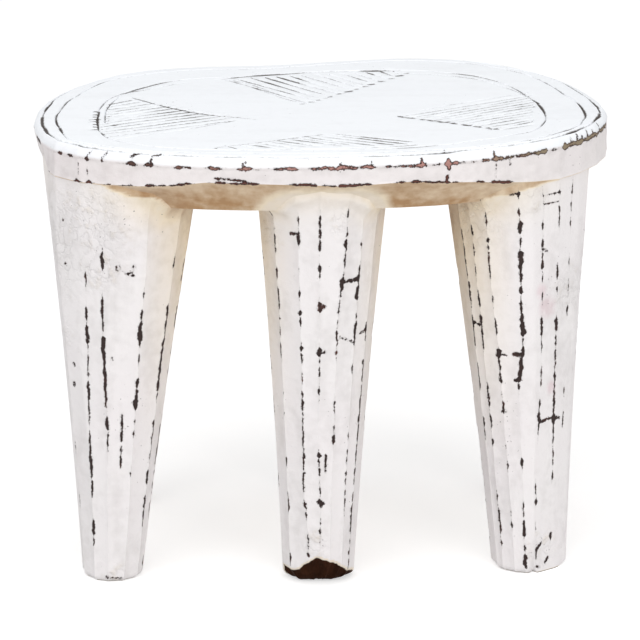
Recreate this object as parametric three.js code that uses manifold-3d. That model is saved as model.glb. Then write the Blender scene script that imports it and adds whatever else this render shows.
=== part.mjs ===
// A low carved stool: an oval seat on two rows of three tapering legs, hewn in long facets.
// Lengths are in millimetres. +X is the right end seen from the front, +Y is the back, +Z is up.
import * as THREE from "three";
import { mergeVertices } from "three/addons/utils/BufferGeometryUtils.js";
import Module from "manifold-3d";

const wasm = await Module();
wasm.setup();

// Seat
const STOOL_HEIGHT = 313;
const SEAT_WIDTH = 400;
const SEAT_DEPTH = 284;
const SHOULDER_RUN = 9;
const SHOULDER_DROP = 8;
const EASED_RUN = 5;
const EASED_DROP = 1.2;
const RIM_BAND = 14;
const UNDERCUT_RUN = 18;
const UNDERCUT_DROP = 20;
const RIM_FACETS = 48;

// The chisel lines cut into the top. A straight cut has its full depth between two shares of its
// length.
const CUT_DEPTH = 1;
const CUT_WIDTH = 2;
const FULL_DEPTH_FROM = 0.15;
const FULL_DEPTH_TO = 0.8;
const OUTER_LINE_INSET = 7;
const LINE_SPACING = 10;

// Where a leg grows out of the seat
const TENON_DIAMETER = 44;
const TENON_SIDES = 12;
const SOCKET_ROOF = 18;
const JOINT_CLEARANCE = 0.3;
const FLARE_HEIGHT = 9;
const FLARE_REACH = 5;
const RIM_SETBACK = 1;

// Legs and feet, as typical sizes that each leg takes its own share of
const LEG_TOP = 100;
const LEG_FOOT = 50;
const LEG_SPLAY = 10;
const LEG_WAIST = 1.5;
const LEG_RINGS = 6;
const SOLE_CHAMFER = 3;
const SPLIT_HEIGHT = 19;
const SPLIT_DEPTH = 11;

const SEAT_THICKNESS = SHOULDER_DROP + RIM_BAND + UNDERCUT_DROP;
const BELLY_Z = STOOL_HEIGHT - SEAT_THICKNESS;
const LOWER_ARRIS_Z = BELLY_Z + UNDERCUT_DROP;
const TENON_LENGTH = SEAT_THICKNESS - SOCKET_ROOF - JOINT_CLEARANCE;

// The seat seen from above, as shares of half its width and half its depth, from the right end
// round by the back. The carver left it fuller at the back right and drawn in at the back left.
const SEAT_OUTLINE = [
  [1.0, -0.08],
  [0.955, 0.24],
  [0.845, 0.58],
  [0.64, 0.88],
  [0.37, 1.0],
  [0.1, 0.95],
  [-0.14, 0.88],
  [-0.42, 0.85],
  [-0.68, 0.74],
  [-0.87, 0.46],
  [-0.985, 0.1],
  [-1.0, -0.28],
  [-0.925, -0.64],
  [-0.66, -0.88],
  [-0.32, -0.985],
  [0.05, -0.985],
  [0.45, -0.91],
  [0.78, -0.68],
  [0.95, -0.38],
];

// The carved oval on the top, from the right round by the back, as shares of half the width and
// half the depth.
const INNER_OVAL = [
  [0.772, -0.196],
  [0.737, 0.121],
  [0.647, 0.431],
  [0.512, 0.607],
  [0.297, 0.691],
  [0.012, 0.677],
  [-0.213, 0.6],
  [-0.418, 0.565],
  [-0.563, 0.466],
  [-0.668, 0.311],
  [-0.748, 0.135],
  [-0.778, -0.097],
  [-0.778, -0.386],
  [-0.738, -0.597],
  [-0.633, -0.724],
  [-0.498, -0.802],
  [-0.303, -0.837],
  [-0.003, -0.851],
  [0.247, -0.83],
  [0.472, -0.724],
  [0.632, -0.597],
  [0.737, -0.464],
];

// The four carved triangles that point to the middle. Their cuts run from the near side to the far
// side, each given as its two ends in the same shares, and the far side itself is a cut too.
const TRIANGLES = [
  {
    near: [[-0.753, -0.59], [-0.738, 0.086]],
    far: [[-0.238, -0.259], [-0.658, 0.17]],
    cuts: 13,
  },
  {
    near: [[0.747, 0.191], [0.712, -0.435]],
    far: [[0.247, -0.231], [0.617, -0.513]],
    cuts: 13,
  },
  {
    near: [[-0.348, 0.522], [0.297, 0.684]],
    far: [[-0.063, 0.036], [0.317, 0.621]],
    cuts: 14,
  },
  {
    near: [[0.307, -0.752], [-0.333, -0.816]],
    far: [[0.017, -0.555], [-0.353, -0.773]],
    cuts: 11,
  },
];

// How far the rim's lower arris hangs below its usual height, or above it, as [facet number round
// the rim, share of RIM_BAND]. The band is widest at the right end and narrowest front left.
const BAND_SAG = [
  [0, 0.57],
  [4, 0.3],
  [9, 0],
  [24, 0.15],
  [29, 0.25],
  [31.5, 0.05],
  [33, -0.28],
  [35.5, -0.22],
  [37, -0.07],
  [39, -0.2],
  [41, 0.04],
  [42.5, 0.36],
  [44, 0.57],
];

// Each leg: how far its top centre lies in from the seat's side (or, for a middle leg, how far it is
// off the middle) and from the front or back edge, as shares of LEG_TOP; how far the foot stands off
// that centre, as shares of LEG_SPLAY; the width and depth of top and foot, as shares of LEG_TOP and
// LEG_FOOT; and the bearings of its arrises in degrees from straight ahead.
const LEGS = [
  {
    name: "leg_front_left",
    side: -1,
    row: -1,
    inset: [0.6, 0.68],
    splay: [-0.9, -1.5],
    top: [1.04, 0.96],
    foot: [0.84, 0.88],
    arrises: [-36, -15, 22, 53, 74, 98, 126, 155, 184, 213, 240, 265, 292],
  },
  {
    name: "leg_front_centre",
    side: 0,
    row: -1,
    inset: [-0.03, 0.58],
    splay: [-0.3, -1.4],
    top: [0.9, 0.98],
    foot: [1, 1.04],
    arrises: [-50, -23, -3, 18, 38, 57, 84, 112, 140, 170, 200, 228, 256, 283],
    splitFoot: true,
  },
  {
    name: "leg_front_right",
    side: 1,
    row: -1,
    inset: [0.67, 0.8],
    splay: [1, -1.7],
    top: [0.99, 0.92],
    foot: [1.04, 1],
    arrises: [-60, -47, -28, -5, 18, 41, 59, 86, 115, 145, 174, 203, 232, 264],
  },
  {
    name: "leg_back_left",
    side: -1,
    row: 1,
    inset: [0.72, 0.76],
    splay: [-1.5, 0.4],
    top: [0.88, 0.86],
    foot: [0.84, 0.84],
    arrises: [-28, 0, 29, 57, 84, 113, 140, 167, 195, 223, 250, 276, 304],
  },
  {
    name: "leg_back_centre",
    side: 0,
    row: 1,
    inset: [-0.02, 0.58],
    splay: [0, 1],
    top: [0.86, 0.92],
    foot: [0.92, 0.96],
    arrises: [-36, -8, 20, 49, 77, 104, 131, 157, 183, 210, 238, 266, 295],
  },
  {
    name: "leg_back_right",
    side: 1,
    row: 1,
    inset: [0.66, 0.72],
    splay: [1.2, 0.8],
    top: [0.88, 0.88],
    foot: [0.88, 0.88],
    arrises: [-31, -5, 23, 50, 79, 106, 134, 160, 187, 216, 243, 270, 300],
  },
];

const SEAT_PAINT = { color: 0xf0f0f2, roughness: 0.7, metalness: 0 };
const LEG_PAINT = { color: 0xece7e2, roughness: 0.75, metalness: 0 };

// A solid from stacked rings of equal count, each a list of Vector3 that runs anticlockwise seen
// from above. The lowest ring comes first, and both ends are closed by a fan.
function loft(rings) {
  const count = rings[0].length;
  const corners = rings.flat();
  const low = corners.length;
  const high = low + 1;
  corners.push(middle(rings[0]), middle(rings[rings.length - 1]));
  const faces = [];
  for (let r = 0; r + 1 < rings.length; r++) {
    for (let i = 0; i < count; i++) {
      const a = r * count + i;
      const b = r * count + ((i + 1) % count);
      faces.push(a, b, b + count, a, b + count, a + count);
    }
  }
  const last = (rings.length - 1) * count;
  for (let i = 0; i < count; i++) {
    const next = (i + 1) % count;
    faces.push(low, next, i, high, last + i, last + next);
  }
  const geometry = new THREE.BufferGeometry().setFromPoints(corners);
  geometry.setIndex(faces);
  return solid(geometry);
}

function middle(ring) {
  const sum = new THREE.Vector3();
  ring.forEach((point) => sum.add(point));
  return sum.divideScalar(ring.length);
}

function solid(geometry) {
  const bare = geometry.clone();
  bare.deleteAttribute("normal");
  bare.deleteAttribute("uv");
  const merged = mergeVertices(bare, 1e-4);
  return new wasm.Manifold(
    new wasm.Mesh({
      numProp: 3,
      vertProperties: merged.attributes.position.array,
      triVerts: new Uint32Array(merged.index.array),
    }),
  );
}

function meshOf(name, body, paint) {
  const data = body.getMesh();
  const geometry = new THREE.BufferGeometry();
  geometry.setAttribute("position", new THREE.BufferAttribute(data.vertProperties, data.numProp));
  geometry.setIndex(new THREE.BufferAttribute(data.triVerts, 1));
  const flat = geometry.toNonIndexed();
  flat.computeVertexNormals();
  const mesh = new THREE.Mesh(flat, new THREE.MeshStandardMaterial(paint));
  mesh.name = name;
  return mesh;
}

// The seat's edge as one corner for each facet of the rim, with the way out of the wood at each.
const edgeCurve = new THREE.CatmullRomCurve3(
  SEAT_OUTLINE.map(([x, y]) => new THREE.Vector3((x * SEAT_WIDTH) / 2, (y * SEAT_DEPTH) / 2, 0)),
  true,
  "centripetal",
);
const rimCorners = edgeCurve.getSpacedPoints(RIM_FACETS).slice(0, RIM_FACETS);
const rimOutward = rimCorners.map((corner, i) => {
  const before = rimCorners[(i + RIM_FACETS - 1) % RIM_FACETS];
  const after = rimCorners[(i + 1) % RIM_FACETS];
  return new THREE.Vector3(after.y - before.y, before.x - after.x, 0).normalize();
});

function bandSag(facet) {
  const next = BAND_SAG.findIndex(([at]) => at > facet);
  const [toAt, toSag] = next < 0 ? [RIM_FACETS, BAND_SAG[0][1]] : BAND_SAG[next];
  const [fromAt, fromSag] = BAND_SAG.at(next < 0 ? -1 : next - 1);
  return RIM_BAND * THREE.MathUtils.lerp(fromSag, toSag, (facet - fromAt) / (toAt - fromAt));
}

// The rim's outline drawn in by an inset and set at a height, which sags with the band or is level.
function rimRing(inset, z, sags = false) {
  return rimCorners.map((corner, i) => {
    const moved = corner.clone().addScaledVector(rimOutward[i], -inset);
    moved.z = sags ? z - bandSag(i) : z;
    return moved;
  });
}

// All that stands under the seat's outline drawn in by an inset.
function underOutline(inset) {
  return loft([rimRing(inset, 0), rimRing(inset, STOOL_HEIGHT)]);
}

function seatSlab(grown = 0) {
  return loft([
    rimRing(UNDERCUT_RUN - grown, BELLY_Z - grown),
    rimRing(-grown, LOWER_ARRIS_Z - grown, true),
    rimRing(-grown, STOOL_HEIGHT - SHOULDER_DROP),
    rimRing(SHOULDER_RUN - EASED_RUN - grown, STOOL_HEIGHT - EASED_DROP),
    rimRing(SHOULDER_RUN - grown, STOOL_HEIGHT + grown),
  ]);
}

// A line cut all the way round: what the chisel's corner takes out along a closed path. It stands
// as far above the wood as it reaches into it.
function ringCut(path) {
  const count = path.length;
  const corners = path.flatMap((place, i) => {
    const before = path[(i + count - 1) % count];
    const after = path[(i + 1) % count];
    const side = new THREE.Vector3(after.y - before.y, before.x - after.x, 0);
    side.setLength(CUT_WIDTH).setZ(CUT_DEPTH);
    const otherSide = side.clone().negate().setZ(CUT_DEPTH);
    const bottom = place.clone().setZ(place.z - CUT_DEPTH);
    return [bottom, place.clone().add(side), place.clone().add(otherSide)];
  });
  const faces = [];
  for (let i = 0; i < count; i++) {
    for (let k = 0; k < 3; k++) {
      const a = 3 * i + k;
      const b = 3 * i + ((k + 1) % 3);
      const c = 3 * ((i + 1) % count) + k;
      const d = 3 * ((i + 1) % count) + ((k + 1) % 3);
      faces.push(a, c, d, a, d, b);
    }
  }
  const geometry = new THREE.BufferGeometry().setFromPoints(corners);
  geometry.setIndex(faces);
  return solid(geometry);
}

// One straight cut, pointed at both ends.
function straightCut(from, to) {
  const run = to.clone().sub(from);
  const side = new THREE.Vector3(-run.y, run.x, 0).setLength(CUT_WIDTH);
  const top = STOOL_HEIGHT + CUT_DEPTH;
  const bottom = STOOL_HEIGHT - CUT_DEPTH;
  const points = [from.clone().setZ(top), to.clone().setZ(top)];
  for (const share of [FULL_DEPTH_FROM, FULL_DEPTH_TO]) {
    const middleLine = from.clone().addScaledVector(run, share);
    points.push(middleLine.clone().add(side).setZ(top));
    points.push(middleLine.clone().sub(side).setZ(top));
    points.push(middleLine.setZ(bottom));
  }
  return wasm.Manifold.hull(points.map((point) => point.toArray()));
}

function onSeat([x, y]) {
  return new THREE.Vector3((x * SEAT_WIDTH) / 2, (y * SEAT_DEPTH) / 2, STOOL_HEIGHT);
}

// The whole pattern: two lines round the edge, the oval, and the four filled triangles.
function patternCuts() {
  const outerShare = (SHOULDER_RUN - OUTER_LINE_INSET) / EASED_RUN;
  const ovalCurve = new THREE.CatmullRomCurve3(INNER_OVAL.map(onSeat), true, "centripetal");
  const cuts = [
    ringCut(rimRing(OUTER_LINE_INSET, STOOL_HEIGHT - EASED_DROP * outerShare)),
    ringCut(rimRing(OUTER_LINE_INSET + LINE_SPACING, STOOL_HEIGHT)),
    ringCut(ovalCurve.getSpacedPoints(RIM_FACETS).slice(0, RIM_FACETS)),
  ];
  for (const triangle of TRIANGLES) {
    const [nearStart, nearEnd] = triangle.near.map(onSeat);
    const [farStart, farEnd] = triangle.far.map(onSeat);
    cuts.push(straightCut(farStart, farEnd));
    for (let i = 0; i < triangle.cuts; i++) {
      const share = (i + 0.5) / triangle.cuts;
      const from = nearStart.clone().lerp(nearEnd, share);
      const to = farStart.clone().lerp(farEnd, share);
      cuts.push(straightCut(from, to));
    }
  }
  return wasm.Manifold.union(cuts);
}

// The tenon on a leg's top, or the socket that takes it when grown by the clearance.
function tenon(leg, grown = 0) {
  const radius = TENON_DIAMETER / 2 + grown;
  const length = TENON_LENGTH + grown;
  const overlap = BELLY_Z - FLARE_HEIGHT;
  const height = BELLY_Z + length - overlap;
  const peg = new THREE.CylinderGeometry(radius, radius, height, TENON_SIDES);
  peg.rotateX(Math.PI / 2);
  peg.translate(leg.place.x, leg.place.y, overlap + height / 2);
  return solid(peg);
}

// One faceted ring of a leg at a height, set in from the leg's own taper by an inset. The taper
// runs on straight above the belly, and halfway down the leg it is drawn in by the waist.
function legRing(leg, z, extraInset) {
  const rise = z / BELLY_Z;
  const inset = extraInset + LEG_WAIST * Math.max(0, 4 * rise * (1 - rise));
  const width = THREE.MathUtils.lerp(leg.foot[0] * LEG_FOOT, leg.top[0] * LEG_TOP, rise);
  const depth = THREE.MathUtils.lerp(leg.foot[1] * LEG_FOOT, leg.top[1] * LEG_TOP, rise);
  const halfWidth = width / 2 - inset;
  const halfDepth = depth / 2 - inset;
  const x = leg.place.x + leg.splay[0] * LEG_SPLAY * (1 - rise);
  const y = leg.place.y + leg.splay[1] * LEG_SPLAY * (1 - rise);
  return leg.arrises.map((bearing) => {
    const angle = THREE.MathUtils.degToRad(bearing);
    return new THREE.Vector3(x + halfWidth * Math.sin(angle), y - halfDepth * Math.cos(angle), z);
  });
}

// A leg: its tapering shaft, a flare where it meets the flat of the belly, cut flush with the rim
// and fitted under the seat, with the tenon on top.
function legBody(leg) {
  const rings = [legRing(leg, 0, SOLE_CHAMFER)];
  for (let i = 0; i <= LEG_RINGS; i++) {
    rings.push(legRing(leg, THREE.MathUtils.lerp(SOLE_CHAMFER, BELLY_Z, i / LEG_RINGS), 0));
  }
  rings.push(legRing(leg, LOWER_ARRIS_Z, 0));
  const flare = loft([
    legRing(leg, BELLY_Z - FLARE_HEIGHT, 0),
    legRing(leg, BELLY_Z - FLARE_HEIGHT / 3, -FLARE_REACH / 3),
    legRing(leg, BELLY_Z, -FLARE_REACH),
  ]);
  const fitted = loft(rings)
    .add(flare.intersect(underOutline(UNDERCUT_RUN)))
    .intersect(underOutline(RIM_SETBACK))
    .subtract(seatSlab(JOINT_CLEARANCE));
  const joined = fitted.add(tenon(leg));
  return leg.splitFoot ? joined.subtract(splitWedge(leg)) : joined;
}

// The corner that split away from the front of a foot: a slanting cut from the sole to the face.
function splitWedge(leg) {
  const front = leg.place.y + leg.splay[1] * LEG_SPLAY - (leg.foot[1] * LEG_FOOT) / 2;
  const half = leg.foot[0] * LEG_FOOT;
  const x = leg.place.x + leg.splay[0] * LEG_SPLAY;
  const profile = new THREE.Shape([
    new THREE.Vector2(front + 2 * SPLIT_DEPTH, -SPLIT_HEIGHT),
    new THREE.Vector2(front - SPLIT_DEPTH, -SPLIT_HEIGHT),
    new THREE.Vector2(front - SPLIT_DEPTH, 2 * SPLIT_HEIGHT),
  ]);
  const wedge = new THREE.ExtrudeGeometry(profile, { depth: 2 * half, bevelEnabled: false });
  wedge.applyMatrix4(
    new THREE.Matrix4().makeBasis(
      new THREE.Vector3(0, 1, 0),
      new THREE.Vector3(0, 0, 1),
      new THREE.Vector3(1, 0, 0),
    ),
  );
  wedge.translate(x - half, 0, 0);
  return solid(wedge);
}

const stool = new THREE.Group();
let seat = seatSlab().subtract(patternCuts());
for (const leg of LEGS) {
  leg.place = new THREE.Vector2(
    leg.side === 0 ? leg.inset[0] * LEG_TOP : leg.side * (SEAT_WIDTH / 2 - leg.inset[0] * LEG_TOP),
    leg.row * (SEAT_DEPTH / 2 - leg.inset[1] * LEG_TOP),
  );
  seat = seat.subtract(tenon(leg, JOINT_CLEARANCE));
  stool.add(meshOf(leg.name, legBody(leg), LEG_PAINT));
}
stool.add(meshOf("seat", seat, SEAT_PAINT));

// The origin is the middle of the footprint, on the ground.
const footprint = new THREE.Box3().setFromObject(stool);
stool.position.set(
  -(footprint.min.x + footprint.max.x) / 2,
  -(footprint.min.y + footprint.max.y) / 2,
  -footprint.min.z,
);

export default stool;
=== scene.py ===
# %% [markdown]
# # A low carved stool, painted white and worn
# The real stool is hewn from one block: an oval seat with a cut pattern on its top, and six
# tapering legs in two rows. It was painted white, and the paint has come off along every arris,
# so that the dark wood shows as broken lines.
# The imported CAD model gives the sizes. This script dresses it: the seat and each leg get a finer
# mesh with chisel cuts, adze marks and chips, and a paint that knows where it is worn.

# %% Load the frame
import math
import random

import bpy
import numpy as np
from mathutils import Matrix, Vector
from mathutils.geometry import delaunay_2d_cdt


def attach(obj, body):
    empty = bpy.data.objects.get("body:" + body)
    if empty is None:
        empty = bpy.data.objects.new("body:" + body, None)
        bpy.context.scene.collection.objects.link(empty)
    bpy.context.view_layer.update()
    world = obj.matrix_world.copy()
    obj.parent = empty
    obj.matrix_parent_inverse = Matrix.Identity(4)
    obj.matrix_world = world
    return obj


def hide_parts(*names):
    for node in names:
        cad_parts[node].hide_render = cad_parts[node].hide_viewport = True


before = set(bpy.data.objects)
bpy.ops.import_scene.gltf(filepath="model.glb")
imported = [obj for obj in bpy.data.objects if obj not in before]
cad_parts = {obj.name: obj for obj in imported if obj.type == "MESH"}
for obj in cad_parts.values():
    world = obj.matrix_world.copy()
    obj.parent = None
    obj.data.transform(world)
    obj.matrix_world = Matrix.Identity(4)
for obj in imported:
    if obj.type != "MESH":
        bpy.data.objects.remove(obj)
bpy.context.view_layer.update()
MM = 0.001
print("nodes:", sorted(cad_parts))

# %% [markdown]
# ## Camera, light and floor
# The photograph was taken from a little above, far enough away that the legs hardly converge, so
# a long lens stands 3.5 m off. Its background is pure white, which comes from the world and the
# floor as the camera sees them, and never from more light on the stool. The light itself is
# soft: a pale world, one large lamp above and in front, one as strong from the front right, and a
# weak one from the left.

# %% Camera
LENS = 290.63
SENSOR_WIDTH = 36
CAMERA_PLACE = Vector((-122.65, -3500.37, 1218.16)) * MM
CAMERA_TARGET = Vector((-0.5, -2.5, 156.5)) * MM


def point_at(thing, place, target):
    thing.location = place
    thing.rotation_euler = (target - place).to_track_quat("-Z", "Y").to_euler()


camera = bpy.data.objects.new("camera", bpy.data.cameras.new("camera"))
camera.data.lens = LENS
camera.data.sensor_width = SENSOR_WIDTH
point_at(camera, CAMERA_PLACE, CAMERA_TARGET)
bpy.context.scene.collection.objects.link(camera)
bpy.context.scene.camera = camera
bpy.context.scene.view_settings.view_transform = "Standard"
print("camera stands", round((CAMERA_PLACE - CAMERA_TARGET).length, 2), "m away")


# %% Lamps
LAMP_TARGET = Vector((0, 0, 0.2))
NEARLY_WHITE = (1.0, 0.99, 0.98)
COOL_LIGHT = (0.97, 0.98, 1.0)


def soft_lamp(name, place, size, watts, colour):
    """A square lamp, its place and size in metres, that looks at the stool's middle."""
    lamp = bpy.data.lights.new(name, "AREA")
    lamp.size = size
    lamp.energy = watts
    lamp.color = colour
    holder = bpy.data.objects.new(name, lamp)
    point_at(holder, Vector(place), LAMP_TARGET)
    bpy.context.scene.collection.objects.link(holder)
    print(name, watts, "W")


soft_lamp("lamp_above", (-0.4, -1.1, 2.3), 1.8, 21, NEARLY_WHITE)
soft_lamp("lamp_front_right", (1.5, -2.5, 1.0), 1.6, 22, NEARLY_WHITE)
soft_lamp("lamp_left", (-2.2, -1.6, 1.0), 1.5, 6, COOL_LIGHT)


# %% A node with its inputs in one call
def add_node(tree, kind, inputs, **settings):
    """A node with these settings, and at each of these inputs a socket or a plain value."""
    node = tree.nodes.new(kind)
    for key, value in settings.items():
        setattr(node, key, value)
    for key, value in inputs.items():
        if isinstance(value, bpy.types.NodeSocket):
            tree.links.new(value, node.inputs[key])
        else:
            node.inputs[key].default_value = value
    return node


# %% A world that is white to the camera
# How strongly the world lights the stool. The camera sees it at 1, which is white.
WORLD_LIGHT = 0.64


def seen_directly(tree):
    """1 for rays that the camera, a reflection or a clear material sends, otherwise 0."""
    light_path = tree.nodes.new("ShaderNodeLightPath")
    total = light_path.outputs["Is Camera Ray"]
    for kind in ("Is Glossy Ray", "Is Transmission Ray"):
        pair = {0: total, 1: light_path.outputs[kind]}
        total = add_node(tree, "ShaderNodeMath", pair, operation="MAXIMUM").outputs[0]
    return total


world = bpy.data.worlds.new("white_studio")
world.use_nodes = True
bpy.context.scene.world = world
sky = world.node_tree
background = sky.nodes["Background"]
background.inputs["Color"].default_value = (1, 1, 1, 1)
levels = {"Value": seen_directly(sky), "To Min": WORLD_LIGHT, "To Max": 1}
level = add_node(sky, "ShaderNodeMapRange", levels)
sky.links.new(level.outputs["Result"], background.inputs["Strength"])
print("the world lights the stool at", WORLD_LIGHT)

# %% A floor that is white to the camera where no shadow falls
# It reflects this share of the light, and the glow, which only the camera sees, lifts it.
FLOOR_GREY = 0.7
FLOOR_GLOW = 0.5
FLOOR_HALF = 7

floor_paint = bpy.data.materials.new("pale_floor")
floor_paint.use_nodes = True
tree = floor_paint.node_tree
tree.nodes.clear()
matte = add_node(tree, "ShaderNodeBsdfDiffuse", {"Color": (FLOOR_GREY, FLOOR_GREY, FLOOR_GREY, 1)})
factors = {0: seen_directly(tree), 1: FLOOR_GLOW}
lift = add_node(tree, "ShaderNodeMath", factors, operation="MULTIPLY")
glow = add_node(tree, "ShaderNodeEmission", {"Strength": lift.outputs[0]})
both = add_node(tree, "ShaderNodeAddShader", {0: matte.outputs[0], 1: glow.outputs[0]})
add_node(tree, "ShaderNodeOutputMaterial", {"Surface": both.outputs[0]})

floor_mesh = bpy.data.meshes.new("floor")
floor_mesh.from_pydata(
    [(x * FLOOR_HALF, y * FLOOR_HALF, 0) for x, y in ((-1, -1), (1, -1), (1, 1), (-1, 1))],
    [],
    [(0, 1, 2, 3)],
)
floor_mesh.materials.append(floor_paint)
floor = bpy.data.objects.new("floor", floor_mesh)
bpy.context.scene.collection.objects.link(floor)
print("floor", 2 * FLOOR_HALF, "m across")

# %% [markdown]
# ## Arithmetic with sockets
# Both the paint and the Geometry Nodes trees below are mostly sums. They could be put together by
# hand, but a Math node for each plus and times is long to write, so a socket is wrapped here in
# a small class, and plain Python arithmetic on it adds the nodes.


# %% A socket that can be added and multiplied
class Field:
    def __init__(self, tree, socket):
        self.tree = tree
        self.socket = socket

    def math(self, operation, *others):
        values = (self, *others)
        inputs = {n: v.socket if isinstance(v, Field) else v for n, v in enumerate(values)}
        node = add_node(self.tree, "ShaderNodeMath", inputs, operation=operation)
        return Field(self.tree, node.outputs[0])

    def __add__(self, other):
        return self.math("ADD", other)

    def __sub__(self, other):
        return self.math("SUBTRACT", other)

    def __mul__(self, other):
        return self.math("MULTIPLY", other)

    def clamped(self):
        return self.math("MAXIMUM", 0).math("MINIMUM", 1)

    def mix(self, start, stop):
        """start where this field is 0, stop where it is 1."""
        return (stop - start) * self + start


def noise_at(tree, vector, scale=1, detail=2):
    """Noise from about -0.5 to 0.5 at a vector."""
    inputs = {"Vector": vector, "Scale": scale, "Detail": detail}
    return Field(tree, add_node(tree, "ShaderNodeTexNoise", inputs).outputs[0]) - 0.5


def noise_field(tree, scale, detail=2, stretch=(1, 1, 1), shift=0):
    """Noise with scale features to the metre, read at the object's own points. The shift keeps two
    noises from lying alike."""
    place = tree.nodes.new("ShaderNodeTexCoord").outputs["Object"]
    inputs = {"Vector": place, "Scale": stretch, "Location": (shift, shift, shift)}
    return noise_at(tree, add_node(tree, "ShaderNodeMapping", inputs).outputs[0], scale, detail)


def attribute_field(tree, name):
    return Field(tree, add_node(tree, "ShaderNodeAttribute", {}, attribute_name=name).outputs["Fac"])


# %% [markdown]
# ## The paint
# The real finish is a chalky white house paint over dark hardwood, brushed on thickly. Sitting
# and handling have broken it along the arrises. It could be painted by hand on a picture, but
# here the mesh itself says where the paint is worn, so it holds at any size. Each mesh carries
# six numbers at every point: how far inside a worn place the point lies, in millimetres (negative
# is outside), how dark a cut is there, how far it is sheltered, which gives it smoke and yellowing
# and also painted shade, and whether the wood is bare, the paint flaky or stained. The material
# adds fine noise to the first and cuts it off sharply, which gives torn paint edges that no mesh
# could hold.


# %% Mixing colours
def colour_mix(tree, amount, first, second):
    """first where amount is 0, second where it is 1. Either is a colour or an earlier mix."""
    inputs = {"Factor": amount.socket, 6: first, 7: second}
    return add_node(tree, "ShaderNodeMix", inputs, data_type="RGBA").outputs[2]


def srgb(red, green, blue):
    """A colour as read off a screen, 0 to 255, as the linear numbers that a shader takes."""
    return (*[((c / 255 + 0.055) / 1.055) ** 2.4 for c in (red, green, blue)], 1)


COOL_WHITE = srgb(245, 248, 252)
BAND_WHITE = srgb(234, 229, 228)
LEG_WHITE = srgb(240, 237, 237)
PINK_WHITE = srgb(238, 231, 234)
CREAM = srgb(240, 225, 200)
TAN = srgb(180, 141, 99)
PINK_STAIN = srgb(226, 200, 206)
OLD_DIRT = srgb(120, 112, 104)
CUT_DIRT = srgb(62, 54, 50)
DARK_WOOD = srgb(42, 27, 25)
RED_WOOD = srgb(112, 66, 56)
SPLIT_WOOD = srgb(32, 18, 11)
FRESH_SPLIT = srgb(64, 37, 24)


# %% What the paint is made of
PAINT_VALUES = ["wear", "groove", "shelter", "bare", "flaky", "stain"]
# Above this height, in metres, the top's smoother paint begins. Its cooler, brighter white is partly
# painted light, and the darker white of the sides below it is partly painted shade.
TOP_PAINT_FROM = 0.305
# How far, in millimetres of wear, the coarse and the fine noise tear a chip's edge.
COARSE_TEAR = 2.5
FINE_TEAR = 2.0


class PaintFields:
    """The six values at each point, the noises that break them up, and what follows from both.
    A noise's scale is how many of its features there are to a metre."""

    def __init__(self, tree, streak_stretch, chip_stretch):
        for name in PAINT_VALUES:
            setattr(self, name, attribute_field(tree, name))
        self.patches = noise_field(tree, 14, 3)
        self.streaks = noise_field(tree, 60, 4, streak_stretch)
        self.fine = noise_field(tree, 1100, 3, chip_stretch)
        self.ragged = noise_field(tree, 360, 4, chip_stretch, shift=3)
        self.lumps = noise_field(tree, 150, 4, shift=9)
        crease_lines = noise_field(tree, 120, 4, shift=15).math("ABSOLUTE") * -16 + 1
        self.creases = crease_lines.clamped() * self.flaky

        place = tree.nodes.new("ShaderNodeTexCoord").outputs["Object"]
        where = add_node(tree, "ShaderNodeSeparateXYZ", {0: place})
        self.across = Field(tree, where.outputs["X"])
        self.height = Field(tree, where.outputs["Z"])
        self.level_top = ((self.height - TOP_PAINT_FROM) * 500).clamped()
        self.side = self.level_top * -1 + 1

        self.torn = self.wear + self.ragged * COARSE_TEAR + self.fine * FINE_TEAR + 0.1
        self.chipped = (self.torn * 4 + 0.5).clamped()
        self.lifted = (self.flaky * (self.lumps * 4 + self.patches * 2 - 0.2)).clamped()


# %% The coat of paint
# How much noise makes a speck of bare wood of its own, away from any arris.
SPECK_LIMIT = 0.262


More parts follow.
